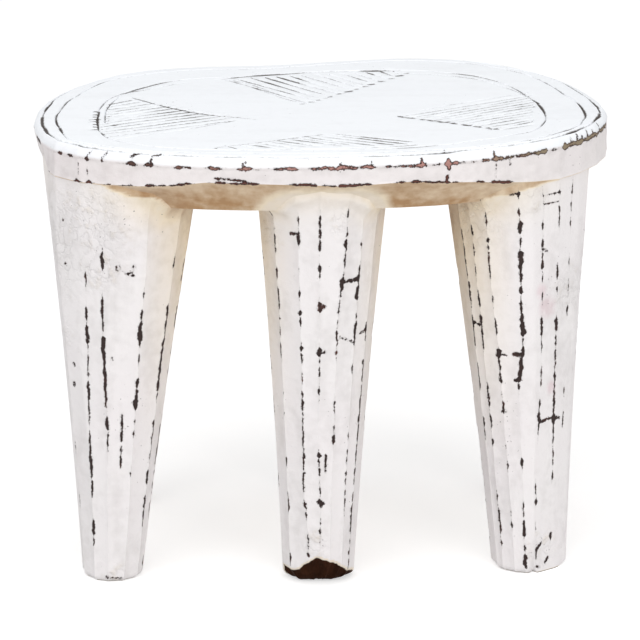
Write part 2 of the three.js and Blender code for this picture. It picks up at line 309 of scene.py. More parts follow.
def coat_colour(tree, f, white, side_white):
    """The paint's colour: white, partly lighter on the top and darker on the sides as painted light
    and shade, cream and tan where it is sheltered, which is partly yellowing and partly painted
    shade, with dust and stains, and with painted shade in creases and cuts.
    """
    # The top gets the cooler white and the sides a darker one: partly painted light on the top and
    # painted shade on the sides.
    coat = colour_mix(tree, f.level_top, side_white, white)
    coat = colour_mix(tree, (f.patches * 1.8 + 0.4).clamped() * f.side * 0.5, coat, PINK_WHITE)
    mottle = f.patches * 0.9 + f.lumps * 0.5 + f.streaks * 0.6
    # Cream, then tan where the paint is sheltered: partly the old paint's smoke and yellowing, partly
    # painted shade under the seat and between the legs.
    smoke_and_shade_tint = (f.shelter + mottle * f.shelter).clamped()
    coat = colour_mix(tree, (smoke_and_shade_tint * 2).clamped(), coat, CREAM)
    coat = colour_mix(tree, (smoke_and_shade_tint * 2 - 1).clamped(), coat, TAN)
    coat = colour_mix(tree, (f.stain + f.lumps * f.stain * 3).clamped() * 0.5, coat, PINK_STAIN)
    coat = colour_mix(tree, f.lifted * 0.35, coat, CREAM)
    dust = (f.streaks * 0.45 + f.lumps * 0.3 + f.flaky * 0.03 + 0.02).clamped()
    coat = colour_mix(tree, dust * (f.side * 0.7 + 0.3), coat, OLD_DIRT)
    # Darker in the flakes' creases: painted shade.
    painted_crease_shade = (f.creases * (f.fine * 4 + 0.2)).clamped()
    coat = colour_mix(tree, painted_crease_shade * 0.14, coat, OLD_DIRT)
    edge_stain = (f.torn * 0.9 + 0.8).clamped()
    coat = colour_mix(tree, edge_stain * 0.25, coat, OLD_DIRT)
    specks = noise_field(tree, 520, 2, shift=12) + f.patches * 0.35 + f.flaky * 0.04
    coat = colour_mix(tree, ((specks - SPECK_LIMIT) * 30).clamped() * 0.7, coat, DARK_WOOD)
    # The cuts' dark: dirt in the cuts, and painted shade down to the least darkness that any cut has.
    cut_dirt_and_shade = ((f.groove + f.ragged * 0.5 + f.fine * 0.3 - 0.14) * 2.4).clamped()
    return colour_mix(tree, cut_dirt_and_shade * (f.groove * 20).clamped(), coat, CUT_DIRT)


# %% The wood under it
# Above this height, in metres, the wood in a wide chip is redder.
RED_CHIPS_FROM = 0.28


def chip_colour(tree, f, rubbed, rubbed_above):
    """The old dark wood in a chip, rubbed paler in the middle of a wide one. Rubbed gives that
    colour from left to right as (x, colour), and shows above a height."""
    redness = (noise_field(tree, 75, 2, shift=7) * 4 - 0.15).clamped()
    wood = colour_mix(tree, redness * 0.5, DARK_WOOD, RED_WOOD)
    on_rim = ((f.height - RED_CHIPS_FROM) * 400).clamped()
    wood = colour_mix(tree, ((f.torn - 0.4) * 1.5).clamped() * on_rim * 0.6, wood, RED_WOOD)
    rubbed_colour = rubbed[0][1]
    for (left, _), (right, colour) in zip(rubbed, rubbed[1:]):
        share = ((f.across - left) * (1 / (right - left))).clamped()
        rubbed_colour = colour_mix(tree, share, rubbed_colour, colour)
    worn_through = ((f.torn - 0.45) * 1.6 + f.ragged).clamped()
    worn_through = worn_through * ((f.height - rubbed_above) * 400).clamped()
    return colour_mix(tree, worn_through, wood, rubbed_colour)


def split_colour(tree):
    """The younger wood where a foot has split, with its grain upright."""
    grain = (noise_field(tree, 160, 4, (1, 1, 0.12)) * 2 + 0.5).clamped()
    return colour_mix(tree, grain, SPLIT_WOOD, FRESH_SPLIT)


# %% The worn paint as one material
PAINT_THICKNESS = 0.0005


def worn_paint(name, white, side_white, rubbed, rubbed_above, streak_stretch, chip_stretch):
    """White paint that breaks along the attribute "wear". The stretches lay the brush marks and
    the torn edges along the piece."""
    paint = bpy.data.materials.new(name)
    paint.use_nodes = True
    tree = paint.node_tree
    shader = tree.nodes["Principled BSDF"]
    f = PaintFields(tree, streak_stretch, chip_stretch)

    coat = coat_colour(tree, f, white, side_white)
    surface = colour_mix(tree, f.chipped, coat, chip_colour(tree, f, rubbed, rubbed_above))
    torn_lip = (f.bare * 9).clamped()
    surface = colour_mix(tree, torn_lip * 0.7, surface, CREAM)
    bare_here = ((f.bare + f.ragged * 0.5) * 4 - 1.6).clamped()
    surface = colour_mix(tree, bare_here, surface, split_colour(tree))
    tree.links.new(surface, shader.inputs["Base Color"])

    roughness = f.chipped * 0.12 + f.streaks * 0.18 + 0.62
    tree.links.new(roughness.socket, shader.inputs["Roughness"])
    shine = bare_here * -0.33 + 0.35
    tree.links.new(shine.socket, shader.inputs["Specular IOR Level"])

    brushed = (f.streaks * 1.1 + f.lumps * 1.2) * (f.side * 0.7 + 0.3)
    thickness = f.chipped * -1.0 + brushed + f.fine * 0.35 + f.ragged * 0.25
    thickness = thickness - f.creases * 0.8 + f.lifted * 1.5
    inputs = {"Height": thickness.socket, "Distance": PAINT_THICKNESS, "Strength": 0.8}
    bump = add_node(tree, "ShaderNodeBump", inputs)
    tree.links.new(bump.outputs[0], shader.inputs["Normal"])
    print(name, "has", len(tree.nodes), "nodes")
    return paint


# %% The seat's paint and the legs'
# The rubbed wood in the rim's chips, which goes from brown over pink to grey: (x, colour).
RIM_RUBBED = [
    (-0.14, srgb(70, 52, 48)),
    (-0.09, srgb(126, 92, 82)),
    (-0.04, srgb(180, 136, 128)),
    (0.09, srgb(180, 134, 126)),
    (0.125, srgb(142, 128, 106)),
]
RIM_RUBBED_FROM = 0.297
LEG_RUBBED = [(0, srgb(44, 31, 29))]
seat_paint = worn_paint(
    "seat_paint_worn",
    COOL_WHITE,
    BAND_WHITE,
    RIM_RUBBED,
    RIM_RUBBED_FROM,
    streak_stretch=(0.25, 1.3, 1),
    chip_stretch=(1, 1, 1),
)
leg_paint = worn_paint(
    "leg_paint_worn",
    LEG_WHITE,
    LEG_WHITE,
    LEG_RUBBED,
    rubbed_above=0,
    streak_stretch=(1, 1, 0.3),
    chip_stretch=(1.2, 1.2, 0.7),
)

# %% [markdown]
# ## The rim
# Seen from above the seat is an uneven oval, hewn with one adze stroke after another, so its
# edge is a ring of short flats. The CAD seat has 48 of them. Their corners are read from it
# here, because every ring of the seat, and the cut that trims the legs, follows them.

# %% Corners of the upper and lower arris
# The CAD seat's own sizes, in millimetres.
RIM_FACETS = 48
STOOL_HEIGHT = 313
UPPER_Z = 305
BELLY_Z = 271
UNDERCUT_RUN = 18
# How close a point must lie to be one of the arris's corners, or to stand under one.
LEVEL_MATCH = 0.01
PLAN_MATCH = 0.05

seat_points = np.array([v.co[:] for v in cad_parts["seat"].data.vertices]) / MM
seat_points = np.unique(seat_points.round(3), axis=0)
corners = seat_points[np.abs(seat_points[:, 2] - UPPER_Z) < LEVEL_MATCH]
bearing = np.arctan2(corners[:, 1], corners[:, 0])
corners = corners[np.argsort((bearing - bearing[np.argmax(corners[:, 0])]) % (2 * np.pi))]
lower_z = []
for corner in corners:
    under = seat_points[np.linalg.norm(seat_points[:, :2] - corner[:2], axis=1) < PLAN_MATCH]
    lower_z.append(under[under[:, 2] < UPPER_Z - 1][:, 2].max())
lower_z = np.array(lower_z)
rim_xy = corners[:, :2]
print(len(rim_xy), "rim corners, lower arris from", lower_z.min(), "to", lower_z.max(), "mm")


# %% Distances from the rim
def segment_distance(points, start, stop):
    """How far points lie from a segment, and how far along it their nearest place is, 0 to 1."""
    run = stop - start
    share = np.clip(((points - start) @ run) / (run @ run), 0, 1)
    return np.linalg.norm(points - start - share[:, None] * run, axis=1), share


def rim_inset(points):
    """How far inside the rim each point lies in plan, and the facet number of the nearest edge."""
    nearest = np.full(len(points), 1e9)
    facet = np.zeros(len(points))
    inside = np.zeros(len(points), bool)
    for i in range(RIM_FACETS):
        start, stop = rim_xy[i], rim_xy[(i + 1) % RIM_FACETS]
        distance, share = segment_distance(points, start, stop)
        closer = distance < nearest
        nearest[closer] = distance[closer]
        facet[closer] = i + share[closer]
        run = stop - start
        crosses = (start[1] > points[:, 1]) != (stop[1] > points[:, 1])
        height = run[1] if abs(run[1]) > 1e-9 else 1e-9
        inside ^= crosses & (points[:, 0] < start[0] + run[0] * (points[:, 1] - start[1]) / height)
    return np.where(inside, nearest, -nearest), facet


def round_rim(values, facet):
    """A value given at each corner, read at any facet number round the rim."""
    low = np.floor(facet).astype(int) % RIM_FACETS
    share = facet - np.floor(facet)
    if values.ndim > 1:
        share = share[:, None]
    return values[low] * (1 - share) + values[(low + 1) % RIM_FACETS] * share


tangents = np.roll(rim_xy, -1, axis=0) - np.roll(rim_xy, 1, axis=0)
outward = np.stack([tangents[:, 1], -tangents[:, 0]], axis=1)
outward /= np.linalg.norm(outward, axis=1)[:, None]
facet_length = np.linalg.norm(rim_xy - np.roll(rim_xy, -1, axis=0), axis=1).mean()
print("a rim facet is", round(facet_length, 1), "mm long")


# %% Smooth unevenness for hewn wood
def ripple(points, wavelength, seed):
    """A smooth uneven field from about -1 to 1 over points in millimetres."""
    draw = np.random.default_rng(seed)
    total = np.zeros(len(points))
    waves = 7
    for _ in range(waves):
        direction = draw.normal(size=points.shape[1])
        direction *= 2 * np.pi / (wavelength * np.linalg.norm(direction) * draw.uniform(0.7, 1.5))
        total += np.sin(points @ direction + draw.uniform(0, 2 * np.pi))
    return np.clip(total / math.sqrt(2 * waves), -1, 1)


# %% [markdown]
# ## The pattern on the top
# Two lines run round the edge and a third makes an oval inside them. Between them stand four
# triangles whose points meet near the middle, each filled with parallel cuts. Each cut is a
# groove struck with a chisel: deepest where the blade went in and running out to a point.
# The parallel cuts repeat, so Geometry Nodes lay them: a tree sets a narrow blade shape between
# two sides of a triangle, as many times as asked, each a little out of true. The blades are
# then read back and pressed into the top.

# %% Tree helpers
VECTOR = "NodeSocketVector"
FLOAT = "NodeSocketFloat"
INTEGER = "NodeSocketInt"


def new_tree(name, wanted):
    """A Geometry Nodes tree with named inputs. Returns it and its two end nodes."""
    tree = bpy.data.node_groups.new(name, "GeometryNodeTree")
    tree.interface.new_socket("Geometry", in_out="INPUT", socket_type="NodeSocketGeometry")
    for label, kind in wanted:
        tree.interface.new_socket(label, in_out="INPUT", socket_type=kind)
    tree.interface.new_socket("Geometry", in_out="OUTPUT", socket_type="NodeSocketGeometry")
    return tree, tree.nodes.new("NodeGroupInput"), tree.nodes.new("NodeGroupOutput")


def finish_tree(tree, geometry, material, group_output):
    real = add_node(tree, "GeometryNodeRealizeInstances", {"Geometry": geometry})
    inputs = {"Geometry": real.outputs[0], "Material": material}
    painted = add_node(tree, "GeometryNodeSetMaterial", inputs)
    tree.links.new(painted.outputs[0], group_output.inputs[0])


def run_tree(tree, mesh, settings):
    """Runs the tree on a mesh with these inputs and returns the plain mesh that it makes."""
    holder = bpy.data.objects.new("tree_holder", mesh)
    bpy.context.scene.collection.objects.link(holder)
    modifier = holder.modifiers.new("tree", "NODES")
    modifier.node_group = tree
    for item in tree.interface.items_tree:
        if item.in_out == "INPUT" and item.name in settings:
            modifier[item.identifier] = settings[item.name]
    evaluated = holder.evaluated_get(bpy.context.evaluated_depsgraph_get())
    made = bpy.data.meshes.new_from_object(evaluated)
    holder.modifiers.clear()
    bpy.data.objects.remove(holder)
    return made


def mesh_points(mesh):
    points = np.zeros(len(mesh.vertices) * 3)
    mesh.vertices.foreach_get("co", points)
    return points.reshape(-1, 3)


# %% The tree that lays parallel cuts
hatch, hatch_in, hatch_out = new_tree(
    "parallel_cuts",
    [
        ("Count", INTEGER),
        ("Start side from", VECTOR),
        ("Start side to", VECTOR),
        ("End side from", VECTOR),
        ("End side to", VECTOR),
        ("Unevenness", FLOAT),
        ("Seed", INTEGER),
    ],
)


def along_side(first, second, share):
    """The place on one side of the triangle at this cut's share of the way."""
    ends = {"Factor": share, 4: hatch_in.outputs[first], 5: hatch_in.outputs[second]}
    return add_node(hatch, "ShaderNodeMix", ends, data_type="VECTOR").outputs[1]


def jittered(place, seed_offset):
    """That place moved at random by the unevenness."""
    reach = {0: (-1, -1, 0), 1: (1, 1, 0)}
    random_reach = add_node(hatch, "FunctionNodeRandomValue", reach, data_type="FLOAT_VECTOR")
    own_seed = Field(hatch, hatch_in.outputs["Seed"]) + seed_offset
    hatch.links.new(own_seed.socket, random_reach.inputs["Seed"])
    scaled = add_node(
        hatch,
        "ShaderNodeVectorMath",
        {0: random_reach.outputs[0], "Scale": hatch_in.outputs["Unevenness"]},
        operation="SCALE",
    )
    added = {0: place, 1: scaled.outputs[0]}
    return add_node(hatch, "ShaderNodeVectorMath", added, operation="ADD").outputs[0]


index = Field(hatch, add_node(hatch, "GeometryNodeInputIndex", {}).outputs[0])
cut_count = hatch_in.outputs["Count"]
cut_share = (index + 0.5).math("DIVIDE", Field(hatch, cut_count)).socket
cut_start = jittered(along_side("Start side from", "Start side to", cut_share), 1)
cut_stop = jittered(along_side("End side from", "End side to", cut_share), 2)
ends = {0: cut_stop, 1: cut_start}
cut_run = add_node(hatch, "ShaderNodeVectorMath", ends, operation="SUBTRACT").outputs[0]
cut_length = add_node(hatch, "ShaderNodeVectorMath", {0: cut_run}, operation="LENGTH")
turn = add_node(hatch, "FunctionNodeAlignRotationToVector", {"Vector": cut_run}, axis="X")
stretch = add_node(hatch, "ShaderNodeCombineXYZ", {0: cut_length.outputs["Value"], 1: 1, 2: 1})
places = add_node(hatch, "GeometryNodePoints", {"Count": cut_count, "Position": cut_start})
laid = add_node(
    hatch,
    "GeometryNodeInstanceOnPoints",
    {
        "Points": places.outputs[0],
        "Instance": hatch_in.outputs["Geometry"],
        "Rotation": turn.outputs[0],
        "Scale": stretch.outputs[0],
    },
)
finish_tree(hatch, laid.outputs[0], seat_paint, hatch_out)

# %% A blade
BLADE_STEPS = 8
blade = bpy.data.meshes.new("blade")
blade.from_pydata(
    [(i / BLADE_STEPS, 0, 0) for i in range(BLADE_STEPS + 1)],
    [(i, i + 1) for i in range(BLADE_STEPS)],
    [],
)

print("a blade has", len(blade.vertices), "points")

# %% How a cut wavers
# Where the real lines are cut heavily: (x, y, how far it reaches).
HEAVY = [
    (-195, -35, 20), (-194, -62, 12), (-190, 0, 8), (-180, -62, 9), (-130, 48, 14), (-112, 66, 10),
    (193, -12, 14), (193, -35, 14), (182, -25, 14), (172, -75, 8), (152, -10, 12),
    (-30, 82, 24), (42, 97, 9), (110, 80, 16), (-90, -12, 24), (45, -99, 22), (-20, -84, 18),
]

# Where they are worn nearly away, in the same form.
FAINT = [
    (0, -138, 40), (90, -112, 14), (-120, -130, 30), (0, 120, 70), (-100, 112, 40), (40, 78, 18),
    (124, -110, 24),
]

# No cut's bottom is paler than this: a floor of painted shade, which keeps the lit walls of a faint
# cut from showing as pale lines.
LEAST_DARK = 0.3

# Each cut is a list of places along it, with the half width there and how dark its bottom is.
cuts = []


def near_places(points, wanted):
    """1 in the middle of each wanted place, fading out smoothly at its reach."""
    near = np.zeros(len(points))
    for x, y, reach in wanted:
        near = np.maximum(near, np.exp(-((points - (x, y)) ** 2).sum(1) / reach**2))
    return near


def add_cut(places, half_width, darkness, blunt_start=0.6, blunt_end=0.15, seed=0):
    """A groove along places, wavering in width and darkness as a hand-held chisel leaves it."""
    places = np.array(places, float)[:, :2]
    share = np.linspace(0, 1, len(places))
    waver = ripple(places, 22, 90 + seed)
    ends = np.minimum(1, np.minimum(blunt_start + share * 7, blunt_end + (1 - share) * 4))
    heavy = near_places(places, HEAVY)
    faint = near_places(places, FAINT)
    half = half_width * ends * (1 + 0.25 * waver + 0.45 * heavy)
    dark = darkness + 0.35 * ripple(places, 30, 400 + seed) + 0.6 * heavy - 0.45 * faint
    cuts.append((places, half, np.clip(dark, LEAST_DARK, 1)))


# %% Lay the parallel cuts in four triangles
# Each triangle's cuts run from one side to another, the first and last along its own sides. All
# places in plan are in millimetres, to the right and away from the photograph's side.
TRIANGLES = [
    {"cuts": 13, "near": [(-150, -84), (-147, 12)], "far": [(-47, -37), (-131, 24)]},
    {"cuts": 13, "near": [(150, 27), (143, -62)], "far": [(50, -33), (124, -73)]},
    {"cuts": 14, "near": [(-69, 74), (60, 97)], "far": [(-12, 5), (64, 88)]},
    {"cuts": 11, "near": [(62, -107), (-66, -116)], "far": [(4, -79), (-70, -110)]},
]
PARALLEL_HALF_WIDTH = 1.35
PARALLEL_DARKNESS = 0.68
UNEVENNESS = 0.9


def plan_vector(place):
    """A place or size in plan as the three numbers that a tree's input takes."""
    return [*map(float, place), 0.0]


for seed, triangle in enumerate(TRIANGLES, 1):
    settings = {
        "Count": triangle["cuts"],
        "Start side from": plan_vector(triangle["near"][0]),
        "Start side to": plan_vector(triangle["near"][1]),
        "End side from": plan_vector(triangle["far"][0]),
        "End side to": plan_vector(triangle["far"][1]),
        "Unevenness": UNEVENNESS,
        "Seed": seed,
    }
    blades = run_tree(hatch, blade, settings)
    for n, places in enumerate(mesh_points(blades).reshape(-1, BLADE_STEPS + 1, 3)):
        add_cut(places, PARALLEL_HALF_WIDTH, PARALLEL_DARKNESS, seed=20 * seed + n)
print(len(cuts), "parallel cuts")


# %% Lines that follow the seat
def smooth_path(points, spacing, closed=False):
    """A Catmull-Rom curve through points, as places about spacing apart."""
    points = np.array(points, float)
    count = len(points)
    path = []
    for i in range(count if closed else count - 1):
        if closed:
            p0, p1, p2, p3 = (points[(i + k) % count] for k in (-1, 0, 1, 2))
        else:
            p0, p1, p2, p3 = (points[min(max(i + k, 0), count - 1)] for k in (-1, 0, 1, 2))
        steps = max(1, round(np.linalg.norm(p2 - p1) / spacing))
        for t in np.arange(steps) / steps:
            path.append(
                p1
                + 0.5 * t * (p2 - p0)
                + t * t * (p0 - 2.5 * p1 + 2 * p2 - 0.5 * p3)
                + t**3 * (1.5 * p1 - 0.5 * p0 - 1.5 * p2 + 0.5 * p3)
            )
    if not closed:
        path.append(points[-1])
    return np.array(path)


def kept_inside(path, least):
    """The path with every place at least this far inside the rim."""
    inset, facet = rim_inset(path)
    short = np.maximum(least - inset, 0)
    return path - round_rim(outward, facet % RIM_FACETS) * short[:, None]


# The round shoulder of the rim bears no cuts: no line comes nearer to the rim than this.
SHOULDER_CLEARANCE = 5.2
SECOND_CLEARANCE = 9
LINE_STEP = 3


def broken_line(points, half_width, darkness, stroke, seed, closed=False, least=SHOULDER_CLEARANCE):
    """A long line cut in strokes that run into each other, each a little off the last."""
    path = kept_inside(smooth_path(points, LINE_STEP, closed), least)
    if closed:
        path = np.vstack([path, path[:1]])
    draw = random.Random(seed)
    start = 0
    while start < len(path) - 2:
        length = max(3, round(stroke / LINE_STEP * draw.uniform(0.6, 1.5)))
        piece = path[start : start + length + 1]
        if len(piece) > 2:
            off = np.array([draw.uniform(-0.5, 0.5), draw.uniform(-0.5, 0.5)])
            add_cut(piece + off, half_width, darkness, 0.7, 0.5, seed + start)
        start += length


# %% The long lines
OUTER_LINE = [
    (-184, 29), (-189, 9), (-192, -5), (-194, -27), (-193, -54), (-190, -73), (-185, -91),
    (-176, -104), (-165, -110), (-147, -117), (-106, -129), (-60, -135), (-14, -136), (33, -134),
    (80, -128), (121, -112), (158, -91), (184, -57), (191, -43), (194, -27), (193, -13), (190, 4),
    (186, 21), (168, 71), (138, 104), (103, 129), (60, 136), (14, 128), (-32, 118), (-78, 116),
    (-120, 105), (-158, 78),
]
SECOND_LINE = [
    (-174, 25), (-179, 9), (-182, -8), (-184, -30), (-182, -54), (-179, -73), (-174, -90),
    (-167, -100), (-160, -109), (-140, -118), (-113, -122), (-86, -125), (-45, -128), (0, -129),
    (50, -127), (97, -122), (144, -98), (165, -80), (174, -72), (180, -48), (183, -34), (182, -12),
    (179, 7), (173, 25), (166, 48), (159, 65), (146, 88), (122, 110), (97, 122), (58, 127),
    (14, 118), (-32, 108), (-78, 106), (-116, 96), (-150, 73),
]
INNER_OVAL = [
    (-101, 73), (-112, 66), (-123, 55), (-133, 44), (-142, 33), (-149, 19), (-153, 2), (-155, -14),
    (-155, -55), (-152, -72), (-147, -85), (-139, -94), (-126, -103), (-116, -109), (-99, -114),
    (-60, -119), (0, -121), (50, -118), (84, -109), (95, -103), (116, -93), (127, -85), (140, -77),
    (148, -66), (154, -47), (155, -28), (153, -6), (148, 17), (139, 43), (130, 61), (117, 77),
    (103, 86), (82, 94), (60, 98), (25, 98), (3, 96), (-19, 90), (-42, 85), (-62, 82), (-83, 80),
]
broken_line(OUTER_LINE, 1.15, 0.42, 50, 11, closed=True)
broken_line(SECOND_LINE, 1.1, 0.46, 45, 12, closed=True, least=SECOND_CLEARANCE)
broken_line(INNER_OVAL, 1.15, 0.5, 55, 13, closed=True)

# The second strokes beside the oval and the sides of the triangles, each with its half width, how
# dark it is, how long its strokes are and its seed.
OPEN_LINES = [
    ([(-95, 68), (-118, 50), (-137, 36), (-149, 1), (-150.8, -43)], 0.85, 0.45, 45, 15),
    ([(67, 89), (102, 78), (123, 61), (145, 23), (153, 0)], 0.9, 0.5, 40, 14),
    ([(-131, 25), (-104, -4), (-81, -22), (-55, -33), (-45, -38)], 1.2, 0.8, 30, 16),
    ([(-142, -86), (-113, -72), (-95, -63), (-78, -52), (-60, -40)], 1.0, 0.5, 30, 17),
    ([(147, 30), (114, 12), (86, -5), (70, -16)], 0.95, 0.5, 30, 19),
    ([(-69, 76), (-41, 87), (-17, 91), (5, 95), (60, 97)], 1.4, 0.85, 35, 20),
    ([(-66, 74), (-48, 54), (-24, 19), (-14, 9)], 1.0, 0.6, 30, 21),
    ([(-61.5, 74), (-43.5, 54), (-19.5, 19), (-9.5, 9)], 1.0, 0.6, 30, 25),
    ([(8, -79), (27, -87), (61, -102)], 1.3, 0.9, 30, 31),
    ([(-60, -117), (-20, -118), (30, -116), (62, -110)], 1.1, 0.6, 35, 32),
]
for line in OPEN_LINES:
    broken_line(*line)
print(len(cuts), "cuts with the long lines")


# %% Rows of short ticks
def tick_row(first, last, count, length, half_width, slant, seed):
    """Short separate cuts in a row, as the chisel's corner makes them."""
    draw = random.Random(seed)
    first, last = np.array(first, float), np.array(last, float)
    for n in range(count):
        place = first + (last - first) * (n + draw.uniform(-0.15, 0.15)) / (count - 1)
        angle = math.radians(slant + draw.uniform(-9, 9))
        half_run = np.array([math.cos(angle), math.sin(angle)]) * length / 2
        half_run *= draw.uniform(0.75, 1.2)
        places = np.linspace(place - half_run, place + half_run, 4)
        add_cut(places, half_width, 1, 0.7, 0.6, seed * 50 + n)


# The first and last tick's places, how many, their length, half width, slant and seed.
TICK_ROWS = [
    ((7.5, 24), (64.5, 89), 10, 2.6, 2.1, 20, 41),
    ((-12, 5), (5, 21), 4, 3, 1.5, 12, 47),
    ((54, -33), (119, -69), 10, 3.4, 2.3, -24, 42),
    ((-70, -110), (-4, -81), 9, 6.5, 1.0, 22, 43),
    ((-150, -72), (-147, 8), 13, 4, 1.2, 20, 44),
    ((-157, -60), (-156.5, -13), 8, 3.8, 2.0, 0, 45),
]
for row in TICK_ROWS:
    tick_row(*row)
broken_line([(-154.5, -12), (-155.5, -35), (-155.5, -60)], 1.1, 0.85, 12, 46)
print(len(cuts), "cuts in all")

# %% [markdown]
# ## The seat
# One board with a worn round shoulder, a band that the adze left in flats, an undercut and a
# level belly. The top is the difficult part: a groove 1 mm wide on a 400 mm seat. A constrained
# triangulation takes every groove's two edges and its bottom line as edges that must be kept and
# fills the rest with large triangles, so there is detail only where there are cuts. The sides
# are rings round the same rim, close together near the arrises, where the chips will be.

# %% The top sheet as a constrained triangulation
COLUMNS_PER_FACET = 16
COLUMNS = RIM_FACETS * COLUMNS_PER_FACET
# The sheet's edge lies this far inside the rim. A cut's edge that crossed it would leave loose
# faces outside it, so the cuts keep a little further in.
SHEET_INSET = 4
EDGE_CLEARANCE = 0.2
# The grid of points that fills the sheet, and how far each is moved so that no row shows.
GRID = 4.5
GRID_JITTER = 1.2
GRID_CLEARANCE = 2
GRID_REACH = (200, 142)
# What the triangulation keeps and merges: only faces inside the edge, and points this near.
INSIDE_EDGE = 1
MERGE_DISTANCE = 0.02

column_facet = np.arange(COLUMNS) / COLUMNS_PER_FACET
column_xy = round_rim(rim_xy, column_facet)
column_out = round_rim(outward, column_facet)
column_out /= np.linalg.norm(column_out, axis=1)[:, None]
sheet_edge = column_xy - column_out * SHEET_INSET

flat_points = [tuple(p) for p in sheet_edge]
flat_edges = [(i, (i + 1) % COLUMNS) for i in range(COLUMNS)]
for places, half, dark in cuts:
    run = np.gradient(places, axis=0)
    side = np.stack([-run[:, 1], run[:, 0]], axis=1)
    side /= np.linalg.norm(side, axis=1)[:, None] + 1e-9
    for offset in (-1, 0, 1):
        first = len(flat_points)
        beside = kept_inside(places + side * half[:, None] * offset, SHEET_INSET + EDGE_CLEARANCE)
        flat_points += [tuple(p) for p in beside]
        flat_edges += [(first + i, first + i + 1) for i in range(len(places) - 1)]
draw = np.random.default_rng(5)
xs, ys = np.meshgrid(*[np.arange(-reach, reach, GRID) for reach in GRID_REACH])
grid = np.stack([xs.ravel(), ys.ravel()], axis=1)
grid = grid + draw.uniform(-GRID_JITTER, GRID_JITTER, (xs.size, 2))
grid = grid[rim_inset(grid)[0] > SHEET_INSET + GRID_CLEARANCE]
flat_points += [tuple(p) for p in grid]
flat, _, sheet_faces, origins, _, _ = delaunay_2d_cdt(
    [Vector(p) for p in flat_points], flat_edges, [], INSIDE_EDGE, MERGE_DISTANCE
)
sheet_xy = np.array([v[:] for v in flat])
print("top sheet:", len(flat), "points,", len(sheet_faces), "triangles")


# %% Press the cuts into the sheet
CUT_DEPTH = 1
# To each side of its bottom line, no cut is wider or narrower than this.
WIDEST_HALF = 3
NARROWEST_HALF = 0.05
# A narrow cut is shallower: one of no width would have this share of the full depth.
LEAST_DEPTH = 0.4
# The worn shoulder starts this far inside the rim and drops this much at the sheet's edge.
ROUND_START = 9
ROUND_DROP = 1.2
# How much the hewn top rises and falls over long and over short distances.
LONG_UNEVEN = 0.15
SHORT_UNEVEN = 0.04
# The whole top stays just below the block's height, inside the CAD seat's box.
TOP_CLEARANCE = 0.02


def pressed(points):
    """How deep and how dark the cuts are at points on the top, each 0 to 1."""
    depth = np.zeros(len(points))
    darkness = np.zeros(len(points))
    for places, half, dark in cuts:
        low = places.min(0) - WIDEST_HALF
        high = places.max(0) + WIDEST_HALF
        near = np.where(((points > low) & (points < high)).all(1))[0]
        for i in range(len(places) - 1):
            distance, share = segment_distance(points[near], places[i], places[i + 1])
            width = half[i] + (half[i + 1] - half[i]) * share
            here = np.clip(1 - distance / np.maximum(width, NARROWEST_HALF), 0, 1)
            deeper = here * np.minimum(1, LEAST_DEPTH + width)
            depth[near] = np.maximum(depth[near], deeper)
            shade = here * (dark[i] + (dark[i + 1] - dark[i]) * share)
            darkness[near] = np.maximum(darkness[near], shade)
    return depth, darkness


def top_height(points, depth):
    """The height of the top: level but for its worn shoulder, its unevenness and the cuts."""
    inset, _ = rim_inset(points)
    rounding = np.clip((ROUND_START - inset) / (ROUND_START - SHEET_INSET), 0, 1) ** 2
    uneven = LONG_UNEVEN * (1 + ripple(points, 70, 3)) + SHORT_UNEVEN * (1 + ripple(points, 16, 4))
    uneven = np.maximum(uneven, 0)
    return STOOL_HEIGHT - TOP_CLEARANCE - ROUND_DROP * rounding - uneven - CUT_DEPTH * depth


sheet_depth, sheet_dark = pressed(sheet_xy)
sheet_z = top_height(sheet_xy, sheet_depth)
edge_of_sheet = [None] * COLUMNS
for vertex, sources in enumerate(origins):
    for source in sources:
        if source < COLUMNS:
            edge_of_sheet[source] = vertex
print("edge points found:", sum(v is not None for v in edge_of_sheet), "of", COLUMNS)


# %% Wear along an arris
UNWORN = -4.0
# How fast the hairline at a run's end gives out: millimetres of wear lost per millimetre.
HAIRLINE_FALL = 0.16
# The coarse mesh and the noise eat this much off the width of a chip.
CHIP_ALLOWANCE = 0.3


def worn_runs(along, across, runs):
    """The wear field in millimetres: half a run's width on its line, falling by the distance from
    it. A run is (from, to, width) along the arris. It wavers about its line, is heaviest near one
    end, runs out in a point at the other and goes on as a hairline. Across has a sign, so that
    the line can waver."""
    wear = np.full(len(along), UNWORN)
    waver = 0.3 * np.sin(along * 0.47) + 0.25 * np.sin(along * 1.13 + 1)
    for n, (first, last, width) in enumerate(runs):
        low, high = min(first, last), max(first, last)
        share = (along - low) / (high - low)
        if n % 3:
            share = 1 - share
        long_run = min(1, (high - low) / 6)
        heft = 1 + 0.55 * long_run * (0.45 - share)
        tip = np.clip(np.minimum(share * 1.4, 1 - share) * (high - low) / 1.6, 0, 1) ** 0.7
        beyond = np.maximum(low - along, along - high)
        line = np.abs(across - waver * min(1, 0.35 * width))
        field = width / 2 * heft * tip - line - np.maximum(beyond, 0) * HAIRLINE_FALL
        wear = np.maximum(wear, field)
    return wear


def worn_marks(places, marks):
    """The wear field of single chips, each (start, stop, width) on the unrolled surface."""
    wear = np.full(len(places), UNWORN)
    for start, stop, width in marks:
        distance, _ = segment_distance(places, np.array(start, float), np.array(stop, float) + 0.01)
        wear = np.maximum(wear, width / 2 - distance)
    return wear


